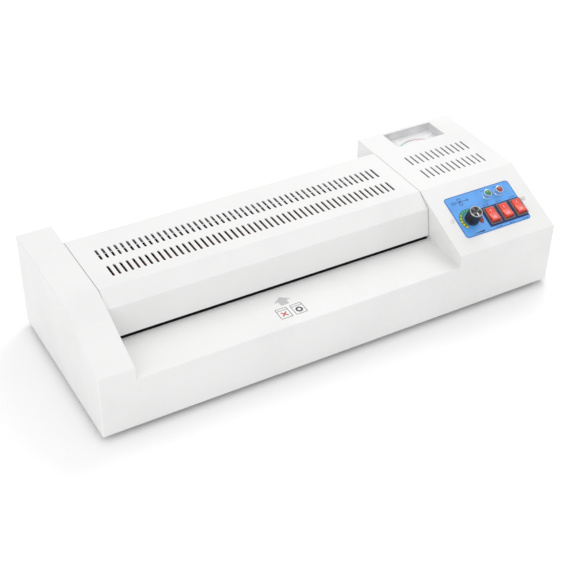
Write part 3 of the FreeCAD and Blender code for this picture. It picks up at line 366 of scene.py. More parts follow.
def swept_ink(name, centre, axes, stops, turn=0.0):
    """Ink whose colour follows the angle round a point; stops run from angle 0 to a full turn."""
    finish = Finish(name, stops[0][1])
    offset = [place - middle for place, middle in zip(finish.places(), centre)]
    across, climb = (offset[0] * axis[0] + offset[1] * axis[1] + offset[2] * axis[2] for axis in axes)
    angle = climb.maths("ARCTAN2", across) + turn
    full = angle.maths("WRAP", 2 * math.pi, 0.0) / (2 * math.pi)
    grain = finish.noise(1200.0)
    return finish.surface(finish.node("ShaderNodeValToRGB", {"stops": stops}, {0: full}), 0.40 + 0.1 * grain,
                          grain, 0.05, 0.02)


# Mesh building
def polar_loop(reach, height, steps):
    """A loop of points round Z; reach gives its radius at an angle."""
    angles = [2 * math.pi * step / steps for step in range(steps)]
    return [Vector((reach(angle) * math.cos(angle), reach(angle) * math.sin(angle), height))
            for angle in angles]


def round_loop(radius, height, steps=ROUND_STEPS):
    return polar_loop(lambda angle: radius, height, steps)


def fluted_loop(radius, depth, flutes, height, steps_per_flute=8, sharpness=0.7):
    """A round loop with half-round grooves; depth 0 gives a plain one with as many points."""
    return polar_loop(lambda angle: radius - depth * max(0.0, math.cos(angle * flutes)) ** sharpness, height,
                      flutes * steps_per_flute)


def cross_loop(arm, half_width, height):
    """The outline of a screw's cross recess, as a loop round its middle."""
    def reach(angle):
        cosine, sine = max(abs(math.cos(angle)), 1e-6), max(abs(math.sin(angle)), 1e-6)
        return max(min(arm / cosine, half_width / sine), min(half_width / cosine, arm / sine))

    return polar_loop(reach, height, ROUND_STEPS)


def rectangle_loop(half_x, half_y, corner, height, steps=6):
    """A rectangle with round corners, as a loop of points."""
    loop = []
    for quarter, (side_x, side_y) in enumerate(((1, 1), (-1, 1), (-1, -1), (1, -1))):
        for step in range(steps + 1):
            angle = math.pi / 2 * (quarter + step / steps)
            loop.append(Vector((side_x * (half_x - corner) + corner * math.cos(angle),
                                side_y * (half_y - corner) + corner * math.sin(angle), height)))
    return loop


def stack(loops, closed=False):
    """A mesh through a stack of loops with equal counts: capped at both ends, or closed on itself."""
    mesh = bmesh.new()
    rings = [[mesh.verts.new(point) for point in loop] for loop in loops]
    count = len(rings[0])
    pairs = list(zip(rings, rings[1:]))
    if closed:
        pairs.append((rings[-1], rings[0]))
    for lower, upper in pairs:
        for step in range(count):
            after = (step + 1) % count
            mesh.faces.new((lower[step], lower[after], upper[after], upper[step]))
    if not closed:
        mesh.faces.new(rings[0][::-1])
        mesh.faces.new(rings[-1])
    return mesh


def lathe(*profile, base=0.0, steps=ROUND_STEPS, closed=False):
    """A turned shape through pairs of radius and height above its base, in millimetres."""
    return stack([round_loop(radius * MM, base + height * MM, steps) for radius, height in profile], closed)


def coil_spring(radius, wire, height, turns, steps=28, wire_steps=10):
    """A compression spring that stands on z 0, with its first and last turns wound close."""
    close_pitch = 2.4 * wire
    open_pitch = (height - 2 * wire - 2 * close_pitch) / (turns - 2)
    loops = []
    for step in range(round(turns * steps) + 1):
        wound = step / steps
        close_turns = min(wound, 1.0) + max(wound - turns + 1.0, 0.0)
        rise = wire + close_pitch * close_turns + open_pitch * (wound - close_turns)
        outward = Vector((math.cos(2 * math.pi * wound), math.sin(2 * math.pi * wound), 0.0))
        centre = outward * (radius - wire) + Vector((0.0, 0.0, rise))
        loops.append([centre + outward * point.x + Vector((0.0, 0.0, point.y))
                      for point in round_loop(wire, 0.0, wire_steps)])
    return stack(loops)


def flat_plate(outline, thickness, edge=0.0):
    """A plate on a flat outline, with its upper edge rounded when an edge radius is given."""
    mesh = bmesh.new()
    low = [mesh.verts.new((x, y, 0.0)) for x, y in outline]
    high = [mesh.verts.new((x, y, thickness)) for x, y in outline]
    mesh.faces.new(low[::-1])
    top = mesh.faces.new(high)
    for index in range(len(outline)):
        after = (index + 1) % len(outline)
        mesh.faces.new((low[index], low[after], high[after], high[index]))
    if edge:
        bmesh.ops.bevel(mesh, geom=list(top.edges), offset=edge, segments=3, profile=0.5, affect="EDGES")
    return mesh


def ring_plate(outer, inner, thickness):
    """A flat ring between two loops of equal counts."""
    lift = Vector((0.0, 0.0, thickness))
    raised = [[point + lift for point in loop] for loop in (outer, inner)]
    return stack([outer, *raised, inner], closed=True)


def arc_outline(inner, outer, start, end, steps=40):
    """A band between two radii, from one angle in degrees to another."""
    angles = [math.radians(start + (end - start) * step / steps) for step in range(steps + 1)]
    return ([(outer * math.cos(angle), outer * math.sin(angle)) for angle in angles]
            + [(inner * math.cos(angle), inner * math.sin(angle)) for angle in reversed(angles)])


def stroke(start, end, width, thickness):
    """A straight stroke of ink from one point to another."""
    start, end = Vector(start), Vector(end)
    run = end - start
    side = Vector((-run.y, run.x)).normalized() * (width / 2)
    return flat_plate([start - side, end - side, end + side, start + side], thickness)


def disc(radius, thickness):
    return flat_plate([point.xy for point in round_loop(radius, 0.0, ROUND_STEPS // 2)], thickness)


def hoop(outer, inner, thickness):
    """A flat round ring, its radii in millimetres."""
    return ring_plate(round_loop(outer * MM, 0.0), round_loop(inner * MM, 0.0), thickness)


def place_piece(name, mesh, place, finish, body="case"):
    """Turns a mesh made at the origin into a piece that rides on a body."""
    mesh.transform(place)
    bmesh.ops.recalc_face_normals(mesh, faces=mesh.faces)
    data = bpy.data.meshes.new(name)
    mesh.to_mesh(data)
    mesh.free()
    data.polygons.foreach_set("use_smooth", [True] * len(data.polygons))
    data.set_sharp_from_angle(angle=SMOOTH_ANGLE)
    piece = bpy.data.objects.new(name, data)
    bpy.context.scene.collection.objects.link(piece)
    data.materials.append(finish.material)
    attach(piece, body)
    return piece


def joined(meshes):
    """Several meshes as one."""
    whole = bmesh.new()
    for mesh in meshes:
        part = bpy.data.meshes.new("part")
        mesh.to_mesh(part)
        mesh.free()
        whole.from_mesh(part)
        bpy.data.meshes.remove(part)
    return whole


def moved(mesh, x=0.0, y=0.0, z=0.0):
    mesh.transform(Matrix.Translation((x, y, z)))
    return mesh


def repaint(finish, *nodes):
    for node in nodes:
        for material_slot in frame["nodes"][node].material_slots:
            material_slot.material = finish.material


# Places on the control panel
def panel_axes():
    outward = Vector(joints["knob_turn"]["axis"]).normalized()
    along = Vector((1.0, 0.0, 0.0))
    return along, outward.cross(along), outward


def on_panel(point):
    """A place square to the control panel, with X along it and Z outwards."""
    along, up, outward = panel_axes()
    place = Matrix((along, up, outward)).transposed().to_4x4()
    place.translation = point
    return place


def knob_point():
    return Vector(joints["knob_turn"]["pos_m"])


def middle(node):
    low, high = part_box(node)
    return (low + high) / 2


def on_sheet(point):
    """The foot on the panel's sheet of the square through a point."""
    outward = panel_axes()[2]
    return point - outward * (point - knob_point()).dot(outward)


def lamp_point(node):
    """A lamp's foot: across from the lamp itself, up the slope from the two bezels together."""
    foot = on_sheet(middle("lamp_bezels"))
    foot.x = middle(node).x
    return foot


def on_table(x, setback):
    """A place on the sloping feed table, this far back from the front."""
    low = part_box("housing")[0]
    slope = math.atan2(TABLE_REAR - TABLE_FRONT, TABLE_DEPTH)
    z = low.z + TABLE_FRONT + setback * math.tan(slope)
    return Matrix.Translation((x, low.y + setback, z)) @ Matrix.Rotation(slope, 4, "X")


def facing_back(x, y, z):
    """A place on the rear panel, with Z outwards."""
    return Matrix.Translation((x, y, z)) @ Matrix.Rotation(math.radians(-90), 4, "X")


# Operators
class LAMINATOR_OT_case(bpy.types.Operator):
    """Powder coat the sheet metal of the case"""
    bl_idname = "laminator.case"
    bl_label = "Case"

    def execute(self, context):
        coat = powder_coat("white_powder_coat", context.scene.laminator_colours.casing)
        repaint(coat, "housing", "roller_cover", "rear_panel", "exit_table")
        repaint(sheet_zinc("zinc_sheet"), "base_plate", "left_side_frame", "right_side_frame",
                "spring_bridges", "heater_brackets")
        # Painted shade: the heat shield is coloured dark to darken the case's inside seen through the vents.
        repaint(sheet_zinc("shade_dark_shield", (0.16, 0.16, 0.165)), "heat_shield")
        # Painted shade: the pouch guides are coloured black so that the feed slot under the cover reads dark.
        black = moulding("guide_shade_black", (0.008, 0.008, 0.008), roughness=0.5, grain=1600.0)
        repaint(black, "pouch_guides")
        return {"FINISHED"}


class LAMINATOR_OT_signs(bpy.types.Operator):
    """Print the feed direction and the two pouch signs on the feed table"""
    bl_idname = "laminator.signs"
    bl_label = "Feed signs"

    def execute(self, context):
        sizes = context.scene.laminator_sizes
        colours = context.scene.laminator_colours
        grey = ink("sign_grey_ink", colours.sign_grey)
        dark = ink("sign_dark_ink", (0.06, 0.06, 0.065))
        red = ink("sign_red_ink", colours.sign_red)
        self.slot_shade_strip()
        arrow = [(-4.6, -6.3), (4.6, -6.3), (4.6, -0.6), (9.5, -0.6), (0.0, 6.3), (-9.5, -0.6), (-4.6, -0.6)]
        outline = [(x * MM, y * MM) for x, y in arrow]
        place_piece("feed_arrow", flat_plate(outline, sizes.ink), on_table(-50.6 * MM, 37.4 * MM), grey)
        half_x, half_y, line = 6.4 * MM, 7.6 * MM, 0.6 * MM
        fold_y = half_y - 3.2 * MM
        mark_y = -1.4 * MM
        arm = 2.9 * MM
        for name, x, crossed in (("wrong_way_sign", -58.4 * MM, True), ("right_way_sign", -42.0 * MM, False)):
            place = on_table(x, 20.2 * MM)
            border = ring_plate(rectangle_loop(half_x, half_y, 1.0 * MM, 0.0),
                                rectangle_loop(half_x - line, half_y - line, 0.6 * MM, 0.0), sizes.ink)
            fold = stroke((-half_x, fold_y), (half_x, fold_y), line, sizes.ink)
            place_piece(name, joined([border, fold]), place, dark)
            if crossed:
                arms = [stroke((-arm, side * arm), (arm, -side * arm), 1.5 * MM, sizes.ink * (1 + 0.3 * side))
                        for side in (-1, 1)]
                place_piece("wrong_way_cross", moved(joined(arms), y=mark_y), place, red)
            else:
                place_piece("right_way_ring", moved(hoop(3.8, 1.8, sizes.ink), y=mark_y), place, dark)
        return {"FINISHED"}

    def slot_shade_strip(self):
        """A black strip across the rear of the table, under the cover's lower edge: painted shade for the
        dark feed slot.
        """
        slot_shade = moulding("slot_shade_black", (0.008, 0.008, 0.008), roughness=0.85, grain=2500.0, relief=0.3)
        cover_low, cover_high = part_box("roller_cover")
        half_x = (cover_high.x - cover_low.x) / 2
        outline = [point.xy for point in rectangle_loop(half_x, 1.1 * MM, 0.4 * MM, 0.0)]
        place_piece("slot_shade_strip", flat_plate(outline, 0.35 * MM, 0.1 * MM),
                    on_table(cover_low.x + half_x, 58.9 * MM), slot_shade)


class LAMINATOR_OT_panel_film(bpy.types.Operator):
    """Print the control panel's film: border, switch plate, heat band and pictograms"""
    bl_idname = "laminator.panel_film"
    bl_label = "Panel film"

    def execute(self, context):
        sizes = context.scene.laminator_sizes
        colours = context.scene.laminator_colours
        film = moulding("panel_film", colours.overlay, roughness=0.34, grain=3000.0, coat=0.2, relief=0.04)
        repaint(film, "panel_overlay")
        dark = ink("panel_dark_ink", colours.overlay_dark)
        low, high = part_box("panel_overlay")
        along, up, outward = panel_axes()
        centre = middle("panel_overlay") - knob_point()
        half_x = (high.x - low.x) / 2
        half_y = ((high.y - low.y) - FILM_THICKNESS * abs(outward.y)) / up.y / 2
        film_x, film_y = centre.dot(along), centre.dot(up)
        place = on_panel(knob_point() + outward * (centre.dot(outward) + FILM_THICKNESS / 2))
        corner, margin, line = 3.5 * MM, 0.25 * MM, 0.55 * MM
        outer, inner = (rectangle_loop(half_x - inset, half_y - inset, corner - inset, 0.0)
                        for inset in (margin, margin + line))
        place_piece("panel_border", moved(ring_plate(outer, inner, sizes.ink), film_x, film_y), place, dark)
        self.switch_plate(sizes, dark, place, film_x + half_x)
        self.heat_band(sizes, place)
        self.pictograms(sizes, dark, place, film_x - half_x, film_y + half_y)
        return {"FINISHED"}

    def switch_plate(self, sizes, dark, place, film_right):
        """The dark plate printed behind the three switches, out to the film's right edge."""
        first = Vector(joints["direction_press"]["pos_m"]) - knob_point()
        row = first.dot(panel_axes()[1])
        left, right = first.x - 9.4 * MM, film_right - 0.3 * MM
        upper, lower = row + 12.2 * MM, row - 12.4 * MM
        outline = [(left, lower), (right, lower), (right, upper), (left, upper)]
        place_piece("switch_plate", flat_plate(outline, sizes.ink * 0.8), place, dark)

    def heat_band(self, sizes, place):
        """The coloured band round the knob, from cool yellow through green to hot red."""
        along, up = panel_axes()[:2]
        olive, green = (0.16, 0.22, 0.03), (0.010, 0.20, 0.075)
        teal, red = (0.012, 0.24, 0.19), (0.20, 0.02, 0.02)
        stops = [(0.0, olive), (0.15, olive), (0.3, green), (0.5, teal), (0.72, green), (0.86, red),
                 (1.0, red)]
        stops = [(position * HEAT_SWEEP / 360.0, tint) for position, tint in stops]
        band_ink = swept_ink("heat_band_ink", knob_point(), (along * -1.0, up), stops,
                             -math.radians(180.0 - HEAT_START))
        outline = arc_outline(8.9 * MM, 13.5 * MM, HEAT_START, HEAT_START - HEAT_SWEEP)
        place_piece("heat_band", flat_plate(outline, sizes.ink), place, band_ink)
        row = 11.6 * MM
        for name, tint, first, last in (("cool_marks", (0.85, 0.66, 0.10), 0, 5),
                                        ("warm_marks", (0.12, 0.55, 0.30), 5, HEAT_MARKS)):
            marks = []
            for index in range(first, last):
                angle = math.radians(HEAT_START - HEAT_SWEEP * (index + 0.4) / HEAT_MARKS)
                marks.append(moved(disc((1.25 - 0.07 * index) * MM, sizes.ink * 1.5),
                                   row * math.cos(angle), row * math.sin(angle)))
            place_piece(name, joined(marks), place, ink(name + "_ink", tint))

    def pictograms(self, sizes, dark, place, left, top):
        """Signs in the labels' places: a pouch between rollers, bars, arrows and a cool-to-hot wedge."""
        marks = []

        def bar(start, end, width=0.5 * MM):
            marks.append(stroke(start, end, width, sizes.ink))

        x, y = left + 16.5 * MM, top - 8.5 * MM
        reach, fine = 11.0 * MM, 0.35 * MM
        for side in (-1, 1):
            marks.append(moved(hoop(2.2, 1.6, sizes.ink), x, y + side * 2.6 * MM))
        bar((x - reach, y), (x + reach, y), 0.6 * MM)
        for side in (-1, 1):
            bar((x + reach, y), (x + 8.6 * MM, y + side * 1.7 * MM))
            sheet_y = y + side * 1.5 * MM
            bar((x - reach, sheet_y), (x - 5.0 * MM, sheet_y), fine)
        up = panel_axes()[1]
        for node in ("ready_lamp", "power_lamp"):
            spot = lamp_point(node) - knob_point()
            y = spot.dot(up) + 7.0 * MM
            bar((spot.x - 3.4 * MM, y), (spot.x + 3.4 * MM, y))
        half, barb_x, barb_y = 3.6 * MM, 1.2 * MM, 0.8 * MM
        for index, name in enumerate(("direction_press", "heat_press", "power_press")):
            spot = Vector(joints[name]["pos_m"]) - knob_point()
            for side, reach in ((1, 14.2 * MM), (-1, 14.4 * MM)):
                y = spot.dot(up) + side * reach
                bar((spot.x - half, y), (spot.x + half, y), 0.45 * MM)
                way = 1 if (index + side) % 2 else -1
                tip = (spot.x + way * half, y)
                for end_y in (y + barb_y, y - barb_y):
                    bar(tip, (tip[0] - way * barb_x, end_y), fine)
        wedge = [(-8.0 * MM, -16.9 * MM), (7.0 * MM, -17.6 * MM), (7.0 * MM, -15.6 * MM)]
        marks.append(flat_plate(wedge, sizes.ink))
        place_piece("panel_pictograms", joined(marks), place, dark)


class LAMINATOR_OT_knob(bpy.types.Operator):
    """Mould the fluted knob, its bright ring and its brushed top with the pointer line"""
    bl_idname = "laminator.knob"
    bl_label = "Knob"

    def execute(self, context):
        sizes = context.scene.laminator_sizes
        colours = context.scene.laminator_colours
        place = on_panel(knob_point())
        seat = (middle("knob_cap") - knob_point()).dot(panel_axes()[2]) - 0.2 * MM
        black = moulding("knob_plastic", colours.knob, roughness=0.34, grain=1800.0, coat=0.15)
        depth = sizes.flute_depth
        foot = [(6.4, 0, 4.4), (6.4, 0, 0.0), (7.95, 0, 0.0), (7.95, 0, 1.2), (7.65, 0, 1.6), (7.75, 0, 1.7),
                (7.75, depth, 2.4)]
        head = [(7.4, depth, -1.6), (7.3, 0, -0.9), (7.15, 0, -0.3), (6.85, 0, 0.0), (3.0, 0, 0.0)]
        body = stack([fluted_loop(radius * MM, groove, sizes.flutes, level + rise * MM)
                      for level, rings in ((KNOB_GAP, foot), (seat, head)) for radius, groove, rise in rings])
        knob = place_piece("fluted_knob", body, place, black, "knob")
        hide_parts("temperature_knob")
        bright = bright_plate("knob_ring_metal", (0.55, 0.56, 0.58))
        rim = lathe((6.9, 0.0), (6.9, 0.5), (6.7, 0.7), (6.1, 0.7), (5.9, 0.45), (5.9, 0.0), base=seat,
                    steps=FINE_STEPS, closed=True)
        ring_piece = place_piece("knob_ring", rim, place, bright, "knob")
        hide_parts("knob_cap")
        top = lathe((5.9, 0.0), (5.9, 0.42), (0.4, 0.36), base=seat, steps=FINE_STEPS)
        place_piece("knob_disc", top, place, self.brushed_disc(), "knob")
        white = ink("pointer_ink", (0.86, 0.86, 0.86))
        line = stroke((0.0, -1.2 * MM), (0.0, -5.7 * MM), 1.1 * MM, sizes.ink)
        place_piece("knob_pointer", moved(line, z=seat + 0.42 * MM), place, white, "knob")
        return {"FINISHED"}

    def brushed_disc(self):
        """Dark disc brushed in rings, with painted highlights: bright wedges in its colour where the brushing
        would catch the light.
        """
        finish = Finish("brushed_dark_disc", (0.045, 0.045, 0.05), metallic=0.9)
        x, y, z = finish.places()
        centre = knob_point()
        up = panel_axes()[1]
        across = x - centre.x
        climb = (y - centre.y) * up.y + (z - centre.z) * up.z
        rings = ((across * across + climb * climb) ** 0.5 * 9000.0).maths("SINE")
        painted_highlight_wedges = (climb.maths("ARCTAN2", across) * 2.0 + 0.9).maths("SINE") ** 6.0
        scratch = finish.noise(700.0, 3.0)
        # Painted highlight: the bright wedges are mixed into the base colour.
        tint = finish.mix(painted_highlight_wedges * 0.7, finish.base, (0.24, 0.24, 0.25))
        return finish.surface(tint, 0.30 + 0.12 * scratch, rings * 0.5 + scratch * 0.5, 0.10, 0.03)


class LAMINATOR_OT_switches(bpy.types.Operator):
    """Mould the three rockers and the frames that they tilt in"""
    bl_idname = "laminator.switches"
    bl_label = "Switches"

    def execute(self, context):
        sizes = context.scene.laminator_sizes
        colours = context.scene.laminator_colours
        red = moulding("rocker_plastic", colours.rocker, roughness=0.36, grain=2600.0, coat=0.2, relief=0.03)
        red.shader.inputs["Subsurface Weight"].default_value = 0.12
        red.shader.inputs["Subsurface Radius"].default_value = (0.004, 0.001, 0.0006)
        grey = moulding("switch_frame_plastic", colours.surround, roughness=0.42)
        white = ink("rocker_mark_ink", (0.85, 0.80, 0.78))
        pivots = []
        for name in ("direction", "heat", "power"):
            joint = joints[name + "_press"]
            pivots.append(Vector(joint["pos_m"]))
            tilt = math.radians(joint["range_deg"][1]) / 2
            place = on_panel(pivots[-1]) @ Matrix.Rotation(-tilt, 4, "X")
            rocker = place_piece(name + "_rocker_moulding", self.rocker_mesh(sizes), place, red,
                                 name + "_switch")
            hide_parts(name + "_rocker")
            place_piece(name + "_rocker_marks", self.marks(sizes), place, white,
                        name + "_switch")
        for index, pivot in enumerate(pivots):
            piece = place_piece(f"switch_frame_{index + 1}", self.frame_mesh(sizes), on_panel(pivot), grey)
            if index == 0:
                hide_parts("switch_frames")
        return {"FINISHED"}

    def rocker_mesh(self, sizes, dish_steps=8):
        """A rocker about its pivot: two dished halves that meet in a shallow valley."""
        half_width, keel, keel_depth = 5.0 * MM, 5.5 * MM, 5.0 * MM
        outline = [(-keel, -keel_depth), (keel, -keel_depth), (ROCKER_LENGTH, 0.0),
                   (ROCKER_LENGTH, ROCKER_END)]
        for side in (1, -1):
            for step in range(1, dish_steps + 1):
                share = step / dish_steps
                from_end = share if side > 0 else 1 - share
                level = ROCKER_END + (ROCKER_VALLEY - ROCKER_END) * from_end
                dish = sizes.rocker_dish * math.sin(math.pi * share)
                outline.append((side * ROCKER_LENGTH * (1 - from_end), level - dish))
        outline.append((-ROCKER_LENGTH, 0.0))
        mesh = bmesh.new()
        left, right = ([mesh.verts.new((x, y, z)) for y, z in outline] for x in (-half_width, half_width))
        mesh.faces.new(left)
        mesh.faces.new(right[::-1])
        for index in range(len(outline)):
            after = (index + 1) % len(outline)
            mesh.faces.new((left[index], right[index], right[after], left[after]))
        bmesh.ops.recalc_face_normals(mesh, faces=mesh.faces)
        sharp = [edge for edge in mesh.edges if edge.calc_face_angle(0.0) > math.radians(25)]
        bmesh.ops.bevel(mesh, geom=sharp, offset=0.55 * MM, segments=3, profile=0.5, affect="EDGES")
        return mesh

    def marks(self, sizes):
        """A stroke on the half pressed for on and a ring on the other."""
        fall = ROCKER_END - ROCKER_VALLEY
        reach = 4.6 * MM
        level = ROCKER_VALLEY + fall * reach / ROCKER_LENGTH - sizes.rocker_dish * 0.93
        bar = stroke((0.0, -1.4 * MM), (0.0, 1.4 * MM), 0.5 * MM, sizes.ink)
        parts = [bar, hoop(1.3, 0.9, sizes.ink)]
        for mesh, side in zip(parts, (1, -1)):
            tilted = Matrix.Rotation(side * math.atan2(fall, ROCKER_LENGTH), 4, "X")
            mesh.transform(Matrix.Translation((0.0, side * reach, level)) @ tilted)
        return joined(parts)

    def frame_mesh(self, sizes):
        """A switch frame about the pivot: rounded bezel, well and snap-in body."""
        drop = 1.0 * MM
        sheet = FILM_THICKNESS + drop
        top = sheet + 1.6 * MM
        edge = sizes.edge
        body, bezel, well = (6.3, 9.6), (7.2, 10.4), (5.3, 8.8)
        rows = ((body, 0.0, 0.7, drop - 17.0 * MM), (body, 0.0, 0.7, sheet), (bezel, 0.0, 1.5, sheet),
                (bezel, 0.0, 1.5, top - edge), (bezel, -edge * 0.3, 1.4, top - edge * 0.3),
                (bezel, -edge, 1.2, top), (well, edge, 0.8, top), (well, 0.0, 0.5, top - edge),
                (well, 0.0, 0.5, drop - 14.0 * MM))
        return stack([rectangle_loop(half_x * MM + grow, half_y * MM + grow, corner * MM, height)
                      for (half_x, half_y), grow, corner, height in rows])


class LAMINATOR_OT_lamps(bpy.types.Operator):
    """Make the two indicator lamps: bright bezels and tinted lenses"""
    bl_idname = "laminator.lamps"
    bl_label = "Lamps"

    def execute(self, context):
        colours = context.scene.laminator_colours
        bright = bright_plate("lamp_bezel_metal")
        foot = FILM_THICKNESS / MM
        dome = [(3.25 * math.cos(angle), 5.4 + 1.9 * math.sin(angle))
                for angle in (math.radians(10 * step) for step in range(9))]
        for node, tint, slot in (("ready_lamp", colours.ready, "lens_green"),
                                 ("power_lamp", colours.power, "lens_red")):
            place = on_panel(lamp_point(node))
            bezel = lathe((3.35, foot), (4.3, foot), (4.3, 0.7), (4.0, 1.0), (3.95, 5.3), (4.25, 5.6),
                          (4.25, 6.1), (4.1, 6.35), (3.6, 6.4), (3.35, 6.0), closed=True)
            piece = place_piece(node + "_bezel", bezel, place, bright)
            if node == "ready_lamp":
                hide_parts("lamp_bezels")
            tinted = lens(node + "_lens_plastic", tint)
            lens_piece = place_piece(node + "_lens", lathe((3.25, -12.0), (3.25, 5.2), *dome), place, tinted)
            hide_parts(node)
        return {"FINISHED"}


class LAMINATOR_OT_meter(bpy.types.Operator):
    """Print the meter's dial and make its needle, case and window"""
    bl_idname = "laminator.meter"
    bl_label = "Meter"

    def execute(self, context):
        sizes = context.scene.laminator_sizes
        repaint(moulding("meter_case_plastic", (0.74, 0.74, 0.76)), "meter_case")
        repaint(ink("dial_card", (0.90, 0.90, 0.905), 0.5), "meter_dial")
        repaint(window_plastic("meter_window_plastic", (0.97, 0.98, 0.98)), "meter_window")
        pivot = Vector(joints["pointer_swing"]["pos_m"])
        centre = Vector((pivot.x, pivot.y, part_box("meter_dial")[0].z + sizes.dial_card))
        place = Matrix.Translation(centre)
        yellow, green = (0.78, 0.78, 0.50), (0.30, 0.60, 0.50)
        grey, pink, red = (0.36, 0.33, 0.36), (0.62, 0.36, 0.42), (0.80, 0.55, 0.55)
        stops = [(0.0, yellow), (0.10, yellow), (0.14, green), (0.185, green), (0.225, grey), (0.28, pink),
                 (0.38, red), (0.5, red)]
        arc_ink = swept_ink("dial_arc_ink", centre, ((-1.0, 0.0, 0.0), (0.0, 1.0, 0.0)), stops)
        radius, half_band = sizes.arc_radius, 1.1 * MM
        band = flat_plate(arc_outline(radius - half_band, radius + half_band, 14.0, 166.0, 80), sizes.ink)
        place_piece("dial_arc", band, place, arc_ink)
        black = ink("dial_black_ink", (0.03, 0.03, 0.03))
        fine = ink("dial_mark_ink", (0.45, 0.45, 0.47))
        marks = []
        for index in range(DIAL_MARKS):
            angle = math.radians(DIAL_START + DIAL_SWEEP * index / (DIAL_MARKS - 1))
            direction = Vector((math.cos(angle), math.sin(angle)))
            reach, width = (3.4, 0.30) if index % 5 == 0 else (2.2, 0.16)
            marks.append(stroke(direction * (radius + 1.2 * MM), direction * (radius + reach * MM),
                                width * MM, sizes.ink))
        place_piece("dial_marks", joined(marks), place, fine)
        self.needle(pivot, black)
        return {"FINISHED"}

    def needle(self, pivot, black):
        """A tapered needle with a tail and a round hub, parked at its left stop."""
        parked = math.radians(joints["pointer_swing"]["range_deg"][0]) / -2
        half = [(0.8, -6.0), (0.42, 6.0), (0.12, 25.0)]
        outline = [(-0.8 * MM, -6.0 * MM), *((x * MM, y * MM) for x, y in half),
                   *((-x * MM, y * MM) for x, y in half[:0:-1])]
        blade = flat_plate(outline, 0.3 * MM, 0.05 * MM)
        hub = lathe((2.0, 0.0), (2.0, 0.6), (1.7, 0.9), (0.9, 0.9), (0.9, 0.0), closed=True)
        place = Matrix.Translation(pivot) @ Matrix.Rotation(parked, 4, "Z")
        needle = place_piece("meter_needle", joined([blade, hub]), place, black, "pointer")
        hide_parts("meter_pointer")


class LAMINATOR_OT_fasteners(bpy.types.Operator):
    """Turn the screws of the case and the panel, with their cross recesses, and the feet"""
    bl_idname = "laminator.fasteners"
    bl_label = "Screws and feet"

    def execute(self, context):
        bright = moulding("panel_screw_coat", (0.80, 0.80, 0.79), roughness=0.35)
        low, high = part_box("panel_screws")
        row = on_sheet(middle("panel_screws"))
        head = 2.4 * MM
        screws = [self.screw(on_panel(Vector((x, row.y, row.z))), head, 1.6 * MM, 1.5 * MM, 7.0 * MM)
                  for x in (low.x + head, high.x - head)]
        piece = place_piece("panel_screw_pair", joined(screws), Matrix(), bright)
        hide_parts("panel_screws")
        zinc = bright_plate("case_screw_metal", (0.62, 0.60, 0.56))
        repaint(zinc, "case_screws")
        rear_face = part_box("rear_panel")[1].y
        heads = [self.screw(facing_back(x, rear_face, z), 3.05 * MM, 1.65 * MM, 1.0 * MM, 0.5 * MM)
                 for x, z in rear_screw_spots()]
        place_piece("rear_screw_heads", joined(heads), Matrix(), zinc)
        rubber = moulding("foot_rubber", (0.018, 0.018, 0.019), roughness=0.7, grain=1500.0, relief=0.2)
        feet = [moved(lathe((4.05, 3.0), (4.05, 0.4), (4.5, 0.0), (8.4, 0.0), (9.0, 0.6), (9.4, 2.6),
                            (10.0, 3.4), (10.0, 6.0), (1.6, 6.0), (1.6, 3.0), closed=True), x, y)
                for x, y in foot_spots()]
        piece = place_piece("moulded_feet", joined(feet), Matrix(), rubber)
        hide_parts("rubber_feet")
        return {"FINISHED"}

    def screw(self, place, radius, height, shank, shank_length):
        """A pan-head screw on the sheet at a place, with its recess outwards."""
        profile = [(shank * 0.6, -shank_length), (shank, -shank_length * 0.9), (shank, 0.0), (radius, 0.0),
                   (radius, height * 0.35), (radius * 0.93, height * 0.7), (radius * 0.75, height * 0.93),
                   (radius * 0.66, height)]
        arm, half_width = radius * 0.62, radius * 0.14
        mesh = stack([round_loop(*ring) for ring in profile]
                     + [cross_loop(arm, half_width, height),
                        cross_loop(arm * 0.85, half_width * 0.8, height * 0.35)])
        mesh.transform(place)
        return mesh


def rear_screw_spots():
    """Where the screws enter the rear panel: its lower corners and middle, and one higher at each end."""
    low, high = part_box("rear_panel")
    edge = 6.0 * MM
    left_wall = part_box("exit_table")[0].x
    right_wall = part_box("exit_table")[1].x
    return [(low.x + edge, low.z + edge), (high.x - edge, low.z + edge),
            ((left_wall + right_wall) / 2, low.z + edge),
            (low.x + edge, high.z - edge), (high.x - edge, low.z + FRONT_WALL)]


def foot_spots():
    low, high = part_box("rubber_feet")
    radius = 10.0 * MM
    return [(x, y) for x in (low.x + radius, high.x - radius) for y in (low.y + radius, high.y - radius)]


